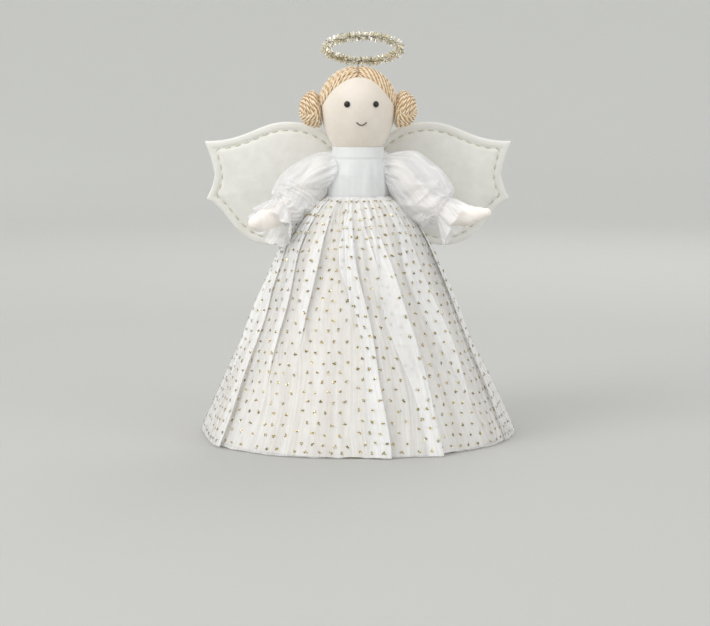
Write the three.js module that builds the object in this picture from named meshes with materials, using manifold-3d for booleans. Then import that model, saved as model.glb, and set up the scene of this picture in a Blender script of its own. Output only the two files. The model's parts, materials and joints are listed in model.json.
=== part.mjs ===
// A cloth angel for the top of a tree: a stuffed doll with puff sleeves, felt wings and a
// tinsel halo, sewn over a stiff card cone that slips down over the tree's leader.
// Millimetres, +Z up, the face looks along -Y, origin on the table under the cone's axis.
// "left" and "right" are as seen from the front: left is -X, right is +X.
import * as THREE from "three";
import { mergeVertices } from "three/addons/utils/BufferGeometryUtils.js";
import Module from "manifold-3d";

// Fits
const fitGap = 0.3;
const degree = Math.PI / 180;

// Card cone inside the skirt
const coneBaseRadius = 122;
const coneCapRadius = 19;
const coneHeight = 198;
const coneWall = 1.6;

// Wooden dowel that joins cone, torso and head
const dowelRadius = 4;
const dowelTail = 8;
const dowelIntoHead = 28;

// Bodice and the stuffing inside it
const bodiceWaistRadius = 25.7;
const bodiceWall = 1;
const bodiceHeight = 49;
const bodiceChestRise = 32;
const bodiceNeckRadius = 21.5;

// Head
const neckRadius = 20.5;
const headRadius = 32;
const headDrop = 33;
const headWall = 1;
const headYaw = 5.5;

// Face, sewn on
const eyeRadius = 2.7;
const eyeBulge = 1.5;
const eyeSpread = 22.5;
const eyeRise = 1.8;
const mouthWidth = 8.8;
const mouthSag = 2.6;
const mouthDrop = 15.8;
const mouthThread = 0.45;

// Hair
const hairThickness = 4;
const hairlineAhead = 8;
const hairlineSlope = 27;
const hairNapeDrop = 24;
const partingGap = 0.8;
const partingEnd = 50;
const partingThread = 0.6;
const bunRadius = 13.6;
const bunHeart = 4.2;
const bunCord = 2.5;
const bunPitch = 6.2;
const bunAhead = 2;

// Halo
const haloRadius = 31;
const haloTinsel = 3.7;
const haloTilt = 19;
const haloAside = 4;
const haloStandoff = 12;
const haloWire = 0.8;
const haloWireDepth = 22;

// Skirts
const skirtWall = 0.8;
const hemClearance = 2;
const tulleOverhang = 1;
const headerRise = 5;
const skirtFlareOut = 17;
const skirtFlareDrop = 7;
const skirtFallIn = 56;
const skirtFallRise = 147;
const foldCount = 16;
const foldDepthAtWaist = 1.8;
const foldDepthAtHem = 9;

// Arms, bent at the elbow
const armShoulderRadius = 7;
const armElbowRadius = 8.2;
const armWristRadius = 9;
const armPalmRadius = 8.4;
const armTipRadius = 4.6;
const shoulderRise = 31;
const upperArmOut = 31;
const upperArmDrop = 49;
const forearmLength = 49;
const elbowAhead = 5;
const forearmLift = 9;
const leftForearmYaw = 64;
const rightForearmYaw = 26;
const armWire = 0.8;
const armWireReach = 0.82;

// Sleeves
const sleeveWall = 0.7;
const armholeHalfHeight = 14;
const armholeHalfDepth = 12;
const armholeDrop = 3;
const sleevePuff = 20;
const sleeveUnderside = 13;
const sleeveFrill = 19;
const sleeveFoldCount = 6;
const sleeveFoldDepth = 1.1;
const cuffPlace = 0.6;
const cuffFrillLength = 12;
const cuffElastic = 0.6;

// Wings: two felts over a thin wadding, hinged on a felt yoke at the back
const felt = 1.5;
const wingPuff = 2.4;
const wingSweep = 7;
const wingTilt = 11;
const wingRootRise = 27;
const wingRootHalf = 14;
const wingHingeGap = 0.4;
const wingCrestReach = 49;
const wingCrestRise = 41;
const wingReach = 124;
const wingTipRise = 22;
const wingNotchReach = 115.5;
const wingNotchDrop = 8;
const wingLowTipReach = 123.5;
const wingLowTipDrop = 30;
const wingLobeReach = 66;
const wingLobeDrop = 70;
const wingSeamAllowance = 8;
const yokeHalfWidth = 10;
const yokeRound = 3;

// Colours and finishes
const finishes = {
  card: { color: 0xb99a74, roughness: 0.9, metalness: 0 },
  wood: { color: 0xd2b48c, roughness: 0.7, metalness: 0 },
  stuffing: { color: 0xf4f2ee, roughness: 1, metalness: 0 },
  satin: { color: 0xeceded, roughness: 0.4, metalness: 0 },
  tulle: { color: 0xf4f3f1, roughness: 0.8, metalness: 0 },
  skin: { color: 0xe8ddcf, roughness: 0.9, metalness: 0 },
  thread: { color: 0x17130f, roughness: 0.5, metalness: 0 },
  yarn: { color: 0xd9b98a, roughness: 0.95, metalness: 0 },
  partingThread: { color: 0x8a6238, roughness: 0.9, metalness: 0 },
  tinsel: { color: 0xcfc39a, roughness: 0.25, metalness: 1 },
  wire: { color: 0xa9a9a6, roughness: 0.35, metalness: 1 },
  elastic: { color: 0xf2f0ec, roughness: 0.8, metalness: 0 },
  felt: { color: 0xeeede4, roughness: 1, metalness: 0 },
};

const wasm = await Module();
wasm.setup();

// Solids and booleans

// The same geometry with its positions alone and its doubled corners joined.
function joined(geometry) {
  const bare = new THREE.BufferGeometry();
  bare.setAttribute("position", geometry.getAttribute("position"));
  bare.setIndex(geometry.getIndex());
  return mergeVertices(bare, 1e-4);
}

function solidOf(geometry) {
  const whole = joined(geometry);
  return new wasm.Manifold(
    new wasm.Mesh({
      numProp: 3,
      vertProperties: new Float32Array(whole.getAttribute("position").array),
      triVerts: new Uint32Array(whole.getIndex().array),
    }),
  );
}

function geometryOf(solid) {
  const mesh = solid.getMesh();
  const geometry = new THREE.BufferGeometry();
  geometry.setAttribute("position", new THREE.BufferAttribute(mesh.vertProperties, 3));
  geometry.setIndex(new THREE.BufferAttribute(mesh.triVerts, 1));
  return geometry;
}

function cut(geometry, ...tools) {
  return geometryOf(tools.reduce((left, tool) => left.subtract(solidOf(tool)), solidOf(geometry)));
}

function common(geometry, ...others) {
  return geometryOf(others.reduce((left, other) => left.intersect(solidOf(other)), solidOf(geometry)));
}

// Reverses a closed mesh whose faces point inwards.
function facingOut(geometry) {
  const p = geometry.getAttribute("position");
  const index = geometry.getIndex();
  const corner = (i) => new THREE.Vector3().fromBufferAttribute(p, index.getX(i));
  let volume = 0;
  for (let i = 0; i < index.count; i += 3) volume += corner(i).dot(corner(i + 1).cross(corner(i + 2)));
  if (volume < 0) index.array.reverse();
  return geometry;
}

// Skins rings of points, each with the same count. The last ring joins the first when ends is
// "joined", and otherwise a fan closes each end.
function loft(rings, ends = "capped") {
  const count = rings[0].length;
  const points = rings.flat();
  const faces = [];
  const quad = (i, k) => {
    for (let j = 0; j < count; j++) {
      const next = (j + 1) % count;
      const [a, b] = [i * count + j, i * count + next];
      const [c, d] = [k * count + j, k * count + next];
      faces.push(a, b, d, a, d, c);
    }
  };
  for (let i = 0; i + 1 < rings.length; i++) quad(i, i + 1);
  if (ends === "joined") {
    quad(rings.length - 1, 0);
  } else {
    const fan = (ring, start, forward) => {
      const middle = ring.reduce((sum, p) => sum.add(p), new THREE.Vector3()).divideScalar(count);
      points.push(middle);
      for (let j = 0; j < count; j++) {
        const pair = [start + j, start + ((j + 1) % count)];
        if (!forward) pair.reverse();
        faces.push(points.length - 1, ...pair);
      }
    };
    fan(rings[0], 0, false);
    fan(rings.at(-1), (rings.length - 1) * count, true);
  }
  const geometry = new THREE.BufferGeometry().setFromPoints(points);
  geometry.setIndex(new THREE.BufferAttribute(new Uint32Array(faces), 1));
  return facingOut(geometry);
}

// A turned piece from a profile of [radius, height] pairs. A lathe's faces follow its profile's
// direction and lie flat at its poles, so they are turned outwards and cleaned as a solid.
function turned(profile, segments) {
  const outline = profile.map(([r, z]) => new THREE.Vector2(r, z));
  const lathe = new THREE.LatheGeometry(outline, segments).rotateX(90 * degree);
  return geometryOf(solidOf(facingOut(joined(lathe))));
}

// A round rod along a curve.
function rod(curve, radius, steps, sides) {
  const frames = curve.computeFrenetFrames(steps, false);
  const rings = Array.from({ length: steps + 1 }, (_, i) =>
    ringAround(curve.getPointAt(i / steps), frames.normals[i], frames.binormals[i], radius, sides),
  );
  return loft(rings);
}

function ringAround(centre, across, up, radius, sides) {
  return Array.from({ length: sides }, (_, j) => {
    const angle = (2 * Math.PI * j) / sides;
    return centre
      .clone()
      .addScaledVector(across, radius * Math.cos(angle))
      .addScaledVector(up, radius * Math.sin(angle));
  });
}

function boxBetween(low, high) {
  const size = high.clone().sub(low);
  const centre = high.clone().add(low).multiplyScalar(0.5);
  return new THREE.BoxGeometry(size.x, size.y, size.z).translate(centre.x, centre.y, centre.z);
}

const point = (x, y, z) => new THREE.Vector3(x, y, z);

// Heights that several pieces share

const torsoBottom = coneHeight + fitGap;
const bodiceBottom = coneHeight;
const bodiceTop = bodiceBottom + bodiceHeight;
const waistTop = bodiceBottom + headerRise;
const torsoTop = bodiceTop;
const headBottom = bodiceTop + fitGap;
const headCentre = headBottom + headDrop;
const headTop = headCentre + headRadius;
const hairOuterRadius = headRadius + fitGap + hairThickness;
const chestHeight = bodiceBottom + bodiceChestRise;
const shoulderHeight = bodiceBottom + shoulderRise;

// The bodice's outer radius: a tube up to the chest, then drawn in to the collar.
function bodiceRadiusAt(z) {
  const share = THREE.MathUtils.clamp((z - chestHeight) / (bodiceTop - chestHeight), 0, 1);
  return bodiceWaistRadius + (bodiceNeckRadius - bodiceWaistRadius) * share * share;
}

function bodiceProfile(offset, bottom, top, steps = 4) {
  return Array.from({ length: steps + 1 }, (_, i) => {
    const z = bottom + ((top - bottom) * i) / steps;
    return [bodiceRadiusAt(z) + offset, z];
  });
}

// The head's outline from its neck to its crown: an ellipse below the middle, a sphere above.
function headProfile(offset, steps = 5) {
  const low = Array.from({ length: steps }, (_, i) => {
    const a = (i / steps) * 90 * degree;
    const r = neckRadius + (headRadius - neckRadius) * Math.sin(a);
    return [r + offset, headCentre - headDrop * Math.cos(a)];
  });
  const high = Array.from({ length: steps + 1 }, (_, i) => {
    const a = (i / steps) * 90 * degree;
    const r = headRadius + offset;
    return [i === steps ? 0 : r * Math.cos(a), headCentre + r * Math.sin(a)];
  });
  return [...low, ...high];
}

// A point on the head, offset from its surface, by height above its middle and turn from -Y.
function onHead(x, rise, offset) {
  const r =
    rise >= 0
      ? Math.sqrt((headRadius + offset) ** 2 - rise ** 2)
      : neckRadius + offset + (headRadius - neckRadius) * Math.sqrt(1 - (rise / headDrop) ** 2);
  return point(x, -Math.sqrt(r ** 2 - x ** 2), headCentre + rise);
}

// Scene graph

const angel = new THREE.Group();

function add(name, geometry, finish, group = angel) {
  const mesh = new THREE.Mesh(geometry, new THREE.MeshStandardMaterial(finishes[finish]));
  mesh.name = name;
  group.add(mesh);
  return mesh;
}

// Card cone with a capped top, open below for the tree

function coneFormer() {
  const capBottom = coneHeight - coneWall;
  const holeRadius = dowelRadius + fitGap;
  return turned(
    [
      [coneBaseRadius - coneWall, 0],
      [coneBaseRadius, 0],
      [coneCapRadius, coneHeight],
      [holeRadius, coneHeight],
      [holeRadius, capBottom],
      [coneCapRadius - coneWall, capBottom],
      [coneBaseRadius - coneWall, 0],
    ],
    48,
  );
}

function neckDowel() {
  const low = coneHeight - coneWall - dowelTail;
  const high = headBottom + dowelIntoHead;
  return turned([[0, low], [dowelRadius, low], [dowelRadius, high], [0, high]], 12);
}

function dowelBore(top) {
  const radius = dowelRadius + fitGap;
  const low = coneHeight - coneWall - dowelTail;
  return turned([[0, low], [radius, low], [radius, top], [0, top]], 12);
}

// Bodice, its stuffing, and the wire that runs across the shoulders

function bodice() {
  const outside = bodiceProfile(0, bodiceBottom, bodiceTop);
  const inside = bodiceProfile(-bodiceWall, bodiceBottom, bodiceTop).reverse();
  return turned([...outside, ...inside, outside[0]], 32);
}

function torsoFilling() {
  const side = bodiceProfile(-bodiceWall - fitGap, torsoBottom, torsoTop);
  return turned([[0, torsoBottom], ...side, [0, torsoTop]], 24);
}

const shoulderAcross = bodiceRadiusAt(shoulderHeight) + fitGap + armShoulderRadius;

function shoulderWire(radius) {
  const reach = bodiceRadiusAt(shoulderHeight);
  const ahead = dowelRadius + fitGap + armWire + fitGap + fitGap;
  const middle = point(0, ahead, shoulderHeight);
  const line = new THREE.CatmullRomCurve3([
    point(-reach, 0, shoulderHeight),
    point(-reach / 2, ahead, shoulderHeight),
    middle,
    point(reach / 2, ahead, shoulderHeight),
    point(reach, 0, shoulderHeight),
  ]);
  return rod(line, radius, 10, 6);
}

// Head: a sewn cover with an open neck over a ball of stuffing

function headCover() {
  const outside = headProfile(0);
  const inside = headProfile(-headWall).reverse();
  return turned([...outside, ...inside, outside[0]], 28);
}

function headFilling() {
  const side = headProfile(-headWall - fitGap);
  return turned([[0, headBottom], ...side], 28);
}

// Face: two knotted eyes and a backstitched smile

function eye(side) {
  const x = headRadius * Math.sin(side * eyeSpread * degree);
  const seat = onHead(x, eyeRise, fitGap);
  const outward = seat.clone().sub(point(0, 0, headCentre)).normalize();
  const steps = 4;
  const dome = Array.from({ length: steps + 1 }, (_, i) => {
    const a = (i / steps) * 90 * degree;
    return [i === steps ? 0 : eyeRadius * Math.cos(a), eyeBulge * Math.sin(a)];
  });
  const knot = turned([[0, 0], ...dome], 12);
  knot.applyQuaternion(new THREE.Quaternion().setFromUnitVectors(point(0, 0, 1), outward));
  return knot.translate(seat.x, seat.y, seat.z);
}

function mouthStitch() {
  const half = mouthWidth / 2;
  const places = [-1, -0.5, 0, 0.5, 1].map((share) =>
    onHead(half * share, -mouthDrop + mouthSag * share * share, mouthThread + fitGap),
  );
  return rod(new THREE.CatmullRomCurve3(places), mouthThread, 8, 6);
}

// Hair: yarn laid from a centre parting down to a wound bun over each ear

function hairShell() {
  const far = 4 * headRadius;
  const outside = headProfile(fitGap + hairThickness);
  const inside = headProfile(fitGap).reverse();
  const shell = turned([...outside, ...inside, outside[0]], 28);
  const behindHairline = boxBetween(point(-far, 0, -far), point(far, far, far));
  behindHairline.rotateX(hairlineSlope * degree);
  behindHairline.translate(0, -hairlineAhead, headCentre);
  const aboveNape = boxBetween(
    point(-far, -far, headCentre - hairNapeDrop),
    point(far, far, headTop + far),
  );
  return common(shell, behindHairline, aboveNape);
}

function hairHalf(side, shell) {
  const far = 4 * headRadius;
  const near = (side * partingGap) / 2;
  const low = point(Math.min(near, side * far), -far, 0);
  const high = point(Math.max(near, side * far), far, headTop + far);
  return common(shell, boxBetween(low, high));
}

function partingSeam() {
  const radius = hairOuterRadius + fitGap + partingThread;
  const front = hairlineAngle();
  const back = (180 - partingEnd) * degree;
  const places = Array.from({ length: 9 }, (_, i) => {
    const a = front + ((back - front) * i) / 8;
    return point(0, -radius * Math.cos(a), headCentre + radius * Math.sin(a));
  });
  return rod(new THREE.CatmullRomCurve3(places), partingThread, 10, 6);
}

// Where the slanted hairline crosses the top of the head, as an angle up from straight ahead.
function hairlineAngle() {
  const slope = hairlineSlope * degree;
  return 90 * degree - Math.asin((hairlineAhead * Math.cos(slope)) / hairOuterRadius) - slope;
}

// The bun's cord winds in on the layer next to the head, climbs, and winds out on the next.
function bunCordPoints(side) {
  const turns = (bunRadius - bunHeart) / bunPitch;
  const stepsPerTurn = 24;
  const inSteps = Math.round(turns * stepsPerTurn);
  const climbSteps = stepsPerTurn / 2;
  const last = 2 * inSteps + climbSteps;
  const seat = hairOuterRadius + fitGap + bunCord;
  return Array.from({ length: last + 1 }, (_, i) => {
    const wound = i <= inSteps ? i : Math.max(inSteps, i - climbSteps);
    const away = Math.abs(wound - inSteps) / stepsPerTurn;
    const ring = bunHeart + bunPitch * away;
    const climb = THREE.MathUtils.clamp((i - inSteps) / climbSteps, 0, 1) * bunPitch;
    const angle = (2 * Math.PI * i) / stepsPerTurn;
    return point(
      side * (seat + climb),
      -bunAhead + side * ring * Math.sin(angle),
      headCentre + ring * Math.cos(angle),
    );
  });
}

function bun(side) {
  const places = bunCordPoints(side);
  console.log(`bun, least gap between turns: ${leastGap(places, bunCord).toFixed(2)} mm`);
  return rod(new THREE.CatmullRomCurve3(places), bunCord, places.length - 1, 6);
}

// The least gap of a wound cord to itself, over points that lie more than half a turn apart.
function leastGap(places, radius) {
  const apart = 10;
  let least = Infinity;
  for (let i = 0; i < places.length; i++) {
    for (let k = i + apart; k < places.length; k++) {
      least = Math.min(least, places[i].distanceTo(places[k]) - 2 * radius);
    }
  }
  return least;
}

// Halo: a tinsel ring on a wire that comes out of the back of the hair and bends there

function haloPlace() {
  const slope = haloTilt * degree;
  const backOut = haloRadius * Math.cos(slope);
  const rise = Math.sqrt(hairOuterRadius ** 2 - backOut ** 2 - haloAside ** 2);
  const exit = point(haloAside, backOut, headCentre + rise);
  const pivot = exit.clone().add(point(0, 0, fitGap + haloWire));
  const back = pivot.clone().add(point(0, 0, haloStandoff + haloTinsel));
  const centre = back.clone().add(point(0, -backOut, haloRadius * Math.sin(slope)));
  return { exit, pivot, back, centre };
}

function haloAnchorWire(radius, top) {
  const { exit } = haloPlace();
  const low = exit.clone().sub(point(0, 0, haloWireDepth));
  const high = exit.clone().add(point(0, 0, top));
  return rod(new THREE.LineCurve3(low, high), radius, 1, 8);
}

function haloStem() {
  const { pivot, back } = haloPlace();
  const top = back.z - haloTinsel - fitGap;
  const rounded = [60, 30, 0].map((turn) => [
    haloWire * Math.cos(turn * degree),
    pivot.z - haloWire * Math.sin(turn * degree),
  ]);
  const stem = turned([[0, pivot.z - haloWire], ...rounded, [haloWire, top], [0, top]], 8);
  return stem.translate(pivot.x, pivot.y, 0);
}

function haloRing() {
  const ring = new THREE.TorusGeometry(haloRadius, haloTinsel, 8, 36);
  ring.rotateX(-haloTilt * degree);
  const { centre } = haloPlace();
  return ring.translate(centre.x, centre.y, centre.z);
}

// Skirts: a plain lining on the cone and a gathered tulle over it, both sewn to the bodice

const liningHem = coneBaseRadius + fitGap;
const skirtRows = 5;

function liningCurve() {
  const waist = bodiceWaistRadius + fitGap;
  return new THREE.CubicBezierCurve(
    new THREE.Vector2(waist, waistTop),
    new THREE.Vector2(waist + skirtFlareOut, waistTop - skirtFlareDrop),
    new THREE.Vector2(liningHem - skirtFallIn, hemClearance + skirtFallRise),
    new THREE.Vector2(liningHem, hemClearance),
  );
}

function underskirt() {
  const line = liningCurve().getPoints(skirtRows);
  const inside = line.map((p) => [p.x, p.y]);
  const outside = line.map((p) => [p.x + skirtWall, p.y]).reverse();
  return turned([...inside, ...outside, inside[0]], 2 * foldCount);
}

function overskirt() {
  const around = foldCount * 6;
  const line = liningCurve();
  const ring = (row, extra) => {
    const down = row / skirtRows;
    const depth = foldDepthAtWaist + (foldDepthAtHem - foldDepthAtWaist) * down;
    const place = line.getPoint(down).addScaledVector(line.getTangent(down), tulleOverhang * down);
    const base = place.x + skirtWall + fitGap + extra;
    return Array.from({ length: around }, (_, j) => {
      const angle = (2 * Math.PI * j) / around;
      const r = base + (depth * (1 + Math.cos(foldCount * angle))) / 2;
      return point(r * Math.cos(angle), r * Math.sin(angle), place.y);
    });
  };
  const every = Array.from({ length: skirtRows + 1 }, (_, row) => row);
  const outside = every.map((row) => ring(row, skirtWall));
  const inside = every.map((row) => ring(row, 0)).reverse();
  return loft([...outside, ...inside], "joined");
}

// Arms: stuffed, with a bend at the elbow and a mitten hand, stiffened by a wire

function armCurve(side) {
  const yaw = (side < 0 ? leftForearmYaw : rightForearmYaw) * degree;
  const shoulder = point(side * shoulderAcross, 0, shoulderHeight);
  const elbow = shoulder.clone().add(point(side * upperArmOut, -elbowAhead, -upperArmDrop));
  const tip = elbow
    .clone()
    .add(point(side * forearmLength * Math.cos(yaw), -forearmLength * Math.sin(yaw), forearmLift));
  const nearElbow = 0.6;
  return new THREE.CubicBezierCurve3(
    shoulder,
    shoulder.clone().lerp(elbow, nearElbow),
    elbow.clone().lerp(tip, 1 - nearElbow).lerp(elbow, 1 - nearElbow),
    tip,
  );
}

// Stuffed radius along the arm, without its rounded ends.
function armRadiusAt(t) {
  const stops = [
    [0, armShoulderRadius],
    [0.45, armElbowRadius],
    [0.66, armWristRadius],
    [0.84, armPalmRadius],
    [1, armTipRadius],
  ];
  const k = Math.max(1, stops.findIndex(([at]) => at >= t));
  const [[a, ra], [b, rb]] = [stops[k - 1], stops[k]];
  const share = THREE.MathUtils.smoothstep(t, a, b);
  return ra + (rb - ra) * share;
}

function arm(side) {
  const curve = armCurve(side);
  const steps = 12;
  const frames = curve.computeFrenetFrames(steps, false);
  const ring = (centre, i, radius) =>
    ringAround(centre, frames.normals[i], frames.binormals[i], radius, 12);
  const cap = (i, radius, outward) =>
    [80, 55, 28].map((turn) => {
      const a = turn * degree;
      const centre = curve.getPointAt(i / steps).addScaledVector(outward, radius * Math.sin(a));
      return ring(centre, i, radius * Math.cos(a));
    });
  const back = frames.tangents[0].clone().negate();
  const rings = [
    ...cap(0, armShoulderRadius, back),
    ...Array.from({ length: steps + 1 }, (_, i) =>
      ring(curve.getPointAt(i / steps), i, armRadiusAt(i / steps)),
    ),
    ...cap(steps, armTipRadius, frames.tangents[steps]).reverse(),
  ];
  return cut(loft(rings), armWireRod(side, armWire + fitGap, armShoulderRadius + fitGap));
}

// The arm's wire, from just inside the shoulder to the hand. tail lengthens its shoulder end.
function armWireRod(side, radius, tail) {
  const curve = armCurve(side);
  const places = Array.from({ length: 9 }, (_, i) => curve.getPointAt((i / 8) * armWireReach));
  const back = curve.getTangentAt(0).negate();
  if (tail > 0) places.unshift(places[0].clone().addScaledVector(back, tail));
  return rod(new THREE.CatmullRomCurve3(places), radius, 10, 6);
}

// Sleeves: a puffed tube from the armhole, drawn in at the wrist by elastic, ending in a frill

function sleeveCurve(side) {
  const hole = point(
    side * (bodiceRadiusAt(shoulderHeight - armholeDrop) + fitGap),
    0,
    shoulderHeight - armholeDrop,
  );
  const along = armCurve(side);
  const wrist = along.getPointAt(cuffPlace);
  const towards = along.getTangentAt(cuffPlace);
  const leave = hole.clone().add(point(side * sleevePuff, 0, 0));
  const arrive = wrist.clone().addScaledVector(towards, -sleevePuff);
  return new THREE.CubicBezierCurve3(hole, leave, arrive, wrist);
}

function sleeve(side) {
  const curve = sleeveCurve(side);
  const steps = 7;
  const around = sleeveFoldCount * 4;
  const cuffRadius = armRadiusAt(cuffPlace) + 2 * (fitGap + cuffElastic);
  const rowAt = (i, extra) => {
    const t = i / steps;
    const swell = Math.sin(Math.PI * Math.min(1, t * 0.92 + 0.08)) ** 0.7;
    const fold = sleeveFoldDepth * Math.sin(Math.PI * t);
    const size = (end, puff) => end * (1 - t) + cuffRadius * t + (puff - (end + cuffRadius) / 2) * swell;
    const section = {
      centre: curve.getPointAt(t),
      tangent: curve.getTangentAt(t),
      over: size(armholeHalfHeight, sleevePuff) + extra,
      under: size(armholeHalfHeight, sleeveUnderside) + extra,
      deep: size(armholeHalfDepth, sleevePuff) + extra,
      fold,
    };
    return sleeveRing(section, around, side, t);
  };
  const frillAt = (k, extra) => {
    const along = armCurve(side);
    const end = along.getPointAt(cuffPlace);
    const towards = along.getTangentAt(cuffPlace);
    const share = k / 2;
    const size = cuffRadius + (sleeveFrill - cuffRadius) * share + extra;
    const section = {
      centre: end.addScaledVector(towards, cuffFrillLength * share),
      tangent: towards,
      over: size,
      under: size,
      deep: size,
      fold: 1.4 * sleeveFoldDepth * share,
    };
    return sleeveRing(section, around, side, 1);
  };
  const every = Array.from({ length: steps + 1 }, (_, i) => i);
  const skin = (extra) => [
    ...every.map((i) => rowAt(i, extra)),
    ...[1, 2].map((k) => frillAt(k, extra)),
  ];
  return loft([...skin(sleeveWall), ...skin(0).reverse()], "joined");
}

function sleeveRing({ centre, tangent, over, under, deep, fold }, around, side, t) {
  const across = new THREE.Vector3().crossVectors(point(0, 0, 1), tangent).normalize();
  const up = new THREE.Vector3().crossVectors(tangent, across);
  const onBodice = Math.max(0, 1 - 4 * t);
  const bodiceRadius = bodiceRadiusAt(shoulderHeight - armholeDrop);
  return Array.from({ length: around }, (_, j) => {
    const angle = (2 * Math.PI * j) / around;
    const ripple = fold * Math.cos(sleeveFoldCount * angle);
    const place = centre
      .clone()
      .addScaledVector(up, ((Math.cos(angle) > 0 ? over : under) + ripple) * Math.cos(angle))
      .addScaledVector(across, (deep + ripple) * Math.sin(angle));
    const round = Math.sqrt(Math.max(0, bodiceRadius ** 2 - place.y ** 2));
    place.x -= side * onBodice * (bodiceRadius - round);
    return place;
  });
}

function cuff(side) {
  const along = armCurve(side);
  const place = along.getPointAt(cuffPlace);
  const towards = along.getTangentAt(cuffPlace);
  const ring = new THREE.TorusGeometry(armRadiusAt(cuffPlace) + fitGap + cuffElastic, cuffElastic, 6, 18);
  ring.applyQuaternion(new THREE.Quaternion().setFromUnitVectors(point(0, 0, 1), towards));
  return ring.translate(place.x, place.y, place.z);
}

// Wings

function wingOutline() {
  const outline = new THREE.Shape();
  outline.moveTo(0, wingRootHalf);
  outline.bezierCurveTo(
    wingCrestReach * 0.2, wingRootHalf + (wingCrestRise - wingRootHalf) * 0.6,
    wingCrestReach * 0.55, wingCrestRise,
    wingCrestReach, wingCrestRise,
  );
  outline.bezierCurveTo(
    wingCrestReach + (wingReach - wingCrestReach) * 0.36, wingCrestRise,
    wingCrestReach + (wingReach - wingCrestReach) * 0.5, wingTipRise,
    wingReach, wingTipRise,
  );
  outline.quadraticCurveTo(
    (wingReach + wingNotchReach) / 2 - 1.5, (wingTipRise - wingNotchDrop) / 2,
    wingNotchReach, -wingNotchDrop,
  );
  outline.quadraticCurveTo(
    (wingNotchReach + wingLowTipReach) / 2 - 1.5, -(wingNotchDrop + wingLowTipDrop) / 2,
    wingLowTipReach, -wingLowTipDrop,
  );
  outline.bezierCurveTo(
    wingLowTipReach * 0.84, -wingLowTipDrop * 1.2,
    wingLobeReach + (wingLowTipReach - wingLobeReach) * 0.6, -wingLobeDrop,
    wingLobeReach, -wingLobeDrop,
  );
  outline.bezierCurveTo(
    wingLobeReach * 0.55, -wingLobeDrop,
    wingLobeReach * 0.22, -wingRootHalf - (wingLobeDrop - wingRootHalf) * 0.5,
    0, -wingRootHalf,
  );
  return outline.getPoints(5);
}

// Rings of the outline drawn in towards the wing's heart, from the edge inwards. Outside the seam
// the felts lie together, and inside it the wadding lifts them to the puff's full height.
function wingRings(side, face, inset, shares) {
  const outline = wingOutline();
  const edge = outline.slice(0, -1);
  const heart = new THREE.Vector2(wingLobeReach, (wingCrestRise - wingLobeDrop) / 2);
  const seam = 1 - wingSeamAllowance / (wingCrestRise + wingLobeDrop) * 2;
  return shares.map((share) => {
    const reach = share === "seam" ? seam : share === "edge" ? 1 : share * seam;
    const lift = wingPuff * Math.sqrt(Math.max(0, 1 - (reach / seam) ** 2));
    return edge.map((p) => {
      const q = heart.clone().lerp(p, reach);
      return point(side * q.x, face * (inset + lift), q.y);
    });
  });
}

function wingFelt(side, face) {
  const shares = ["edge", "seam", 0.75, 0.3];
  const near = wingRings(side, face, fitGap / 2, shares);
  const away = wingRings(side, face, fitGap / 2 + felt, shares);
  return loft([...near.reverse(), ...away]);
}

function wingWadding(side) {
  const shares = [0.75, 0.3];
  const front = wingRings(side, -1, -fitGap / 2, shares);
  const back = wingRings(side, 1, -fitGap / 2, shares);
  return loft([...front.reverse(), ...back]);
}

const wingThickness = 2 * felt + fitGap;
const yokeDepth = wingThickness;
const wingRootZ = bodiceBottom + wingRootRise;
const wingRootY = yokeSeat();

// How far back the leaning yoke's hinge face lies when its front just clears the bodice.
function yokeSeat() {
  const lean = wingTilt * degree;
  const samples = 16;
  let seat = 0;
  for (let i = 0; i <= samples; i++) {
    const along = wingRootHalf * ((2 * i) / samples - 1);
    const z = wingRootZ + along * Math.cos(lean) - yokeDepth * Math.sin(lean);
    const needed = bodiceRadiusAt(z) + along * Math.sin(lean) + yokeDepth * Math.cos(lean);
    seat = Math.max(seat, needed + fitGap);
  }
  return seat;
}

function wingYoke() {
  const half = yokeHalfWidth;
  const tall = wingRootHalf;
  const round = yokeRound;
  const outline = new THREE.Shape();
  outline.moveTo(-half + round, -tall);
  outline.lineTo(half - round, -tall);
  outline.absarc(half - round, -tall + round, round, -90 * degree, 0);
  outline.absarc(half - round, tall - round, round, 0, 90 * degree);
  outline.absarc(-half + round, tall - round, round, 90 * degree, 180 * degree);
  outline.absarc(-half + round, -tall + round, round, 180 * degree, 270 * degree);
  const settings = { depth: yokeDepth, bevelEnabled: false, curveSegments: 4 };
  const slab = new THREE.ExtrudeGeometry(outline, settings);
  return slab.rotateX(90 * degree);
}

// The wings and their yoke lean back together, and each wing hinges on the back of its root.
function addWings() {
  const lean = new THREE.Group();
  lean.position.set(0, wingRootY, wingRootZ);
  lean.rotation.x = wingTilt * degree;
  angel.add(lean);
  add("wing_yoke", wingYoke(), "felt", lean);
  for (const [name, side] of [["left", -1], ["right", 1]]) {
    const hinge = new THREE.Group();
    hinge.position.x = side * (yokeHalfWidth + wingHingeGap);
    hinge.rotation.z = side * wingSweep * degree;
    lean.add(hinge);
    const middle = new THREE.Group();
    middle.position.y = -wingThickness / 2;
    hinge.add(middle);
    add(`${name}_wing_front`, wingFelt(side, -1), "felt", middle);
    add(`${name}_wing_back`, wingFelt(side, 1), "felt", middle);
    add(`${name}_wing_wadding`, wingWadding(side), "stuffing", middle);
  }
}

// Assembly

add("cone_former", coneFormer(), "card");
add("neck_dowel", neckDowel(), "wood");
add("bodice", cut(bodice(), shoulderWire(armWire + fitGap)), "satin");
add(
  "torso_filling",
  cut(torsoFilling(), dowelBore(bodiceTop + fitGap), shoulderWire(armWire + fitGap)),
  "stuffing",
);
add("shoulder_wire", shoulderWire(armWire), "wire");
add("underskirt", underskirt(), "satin");
add("overskirt", overskirt(), "tulle");

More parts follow.
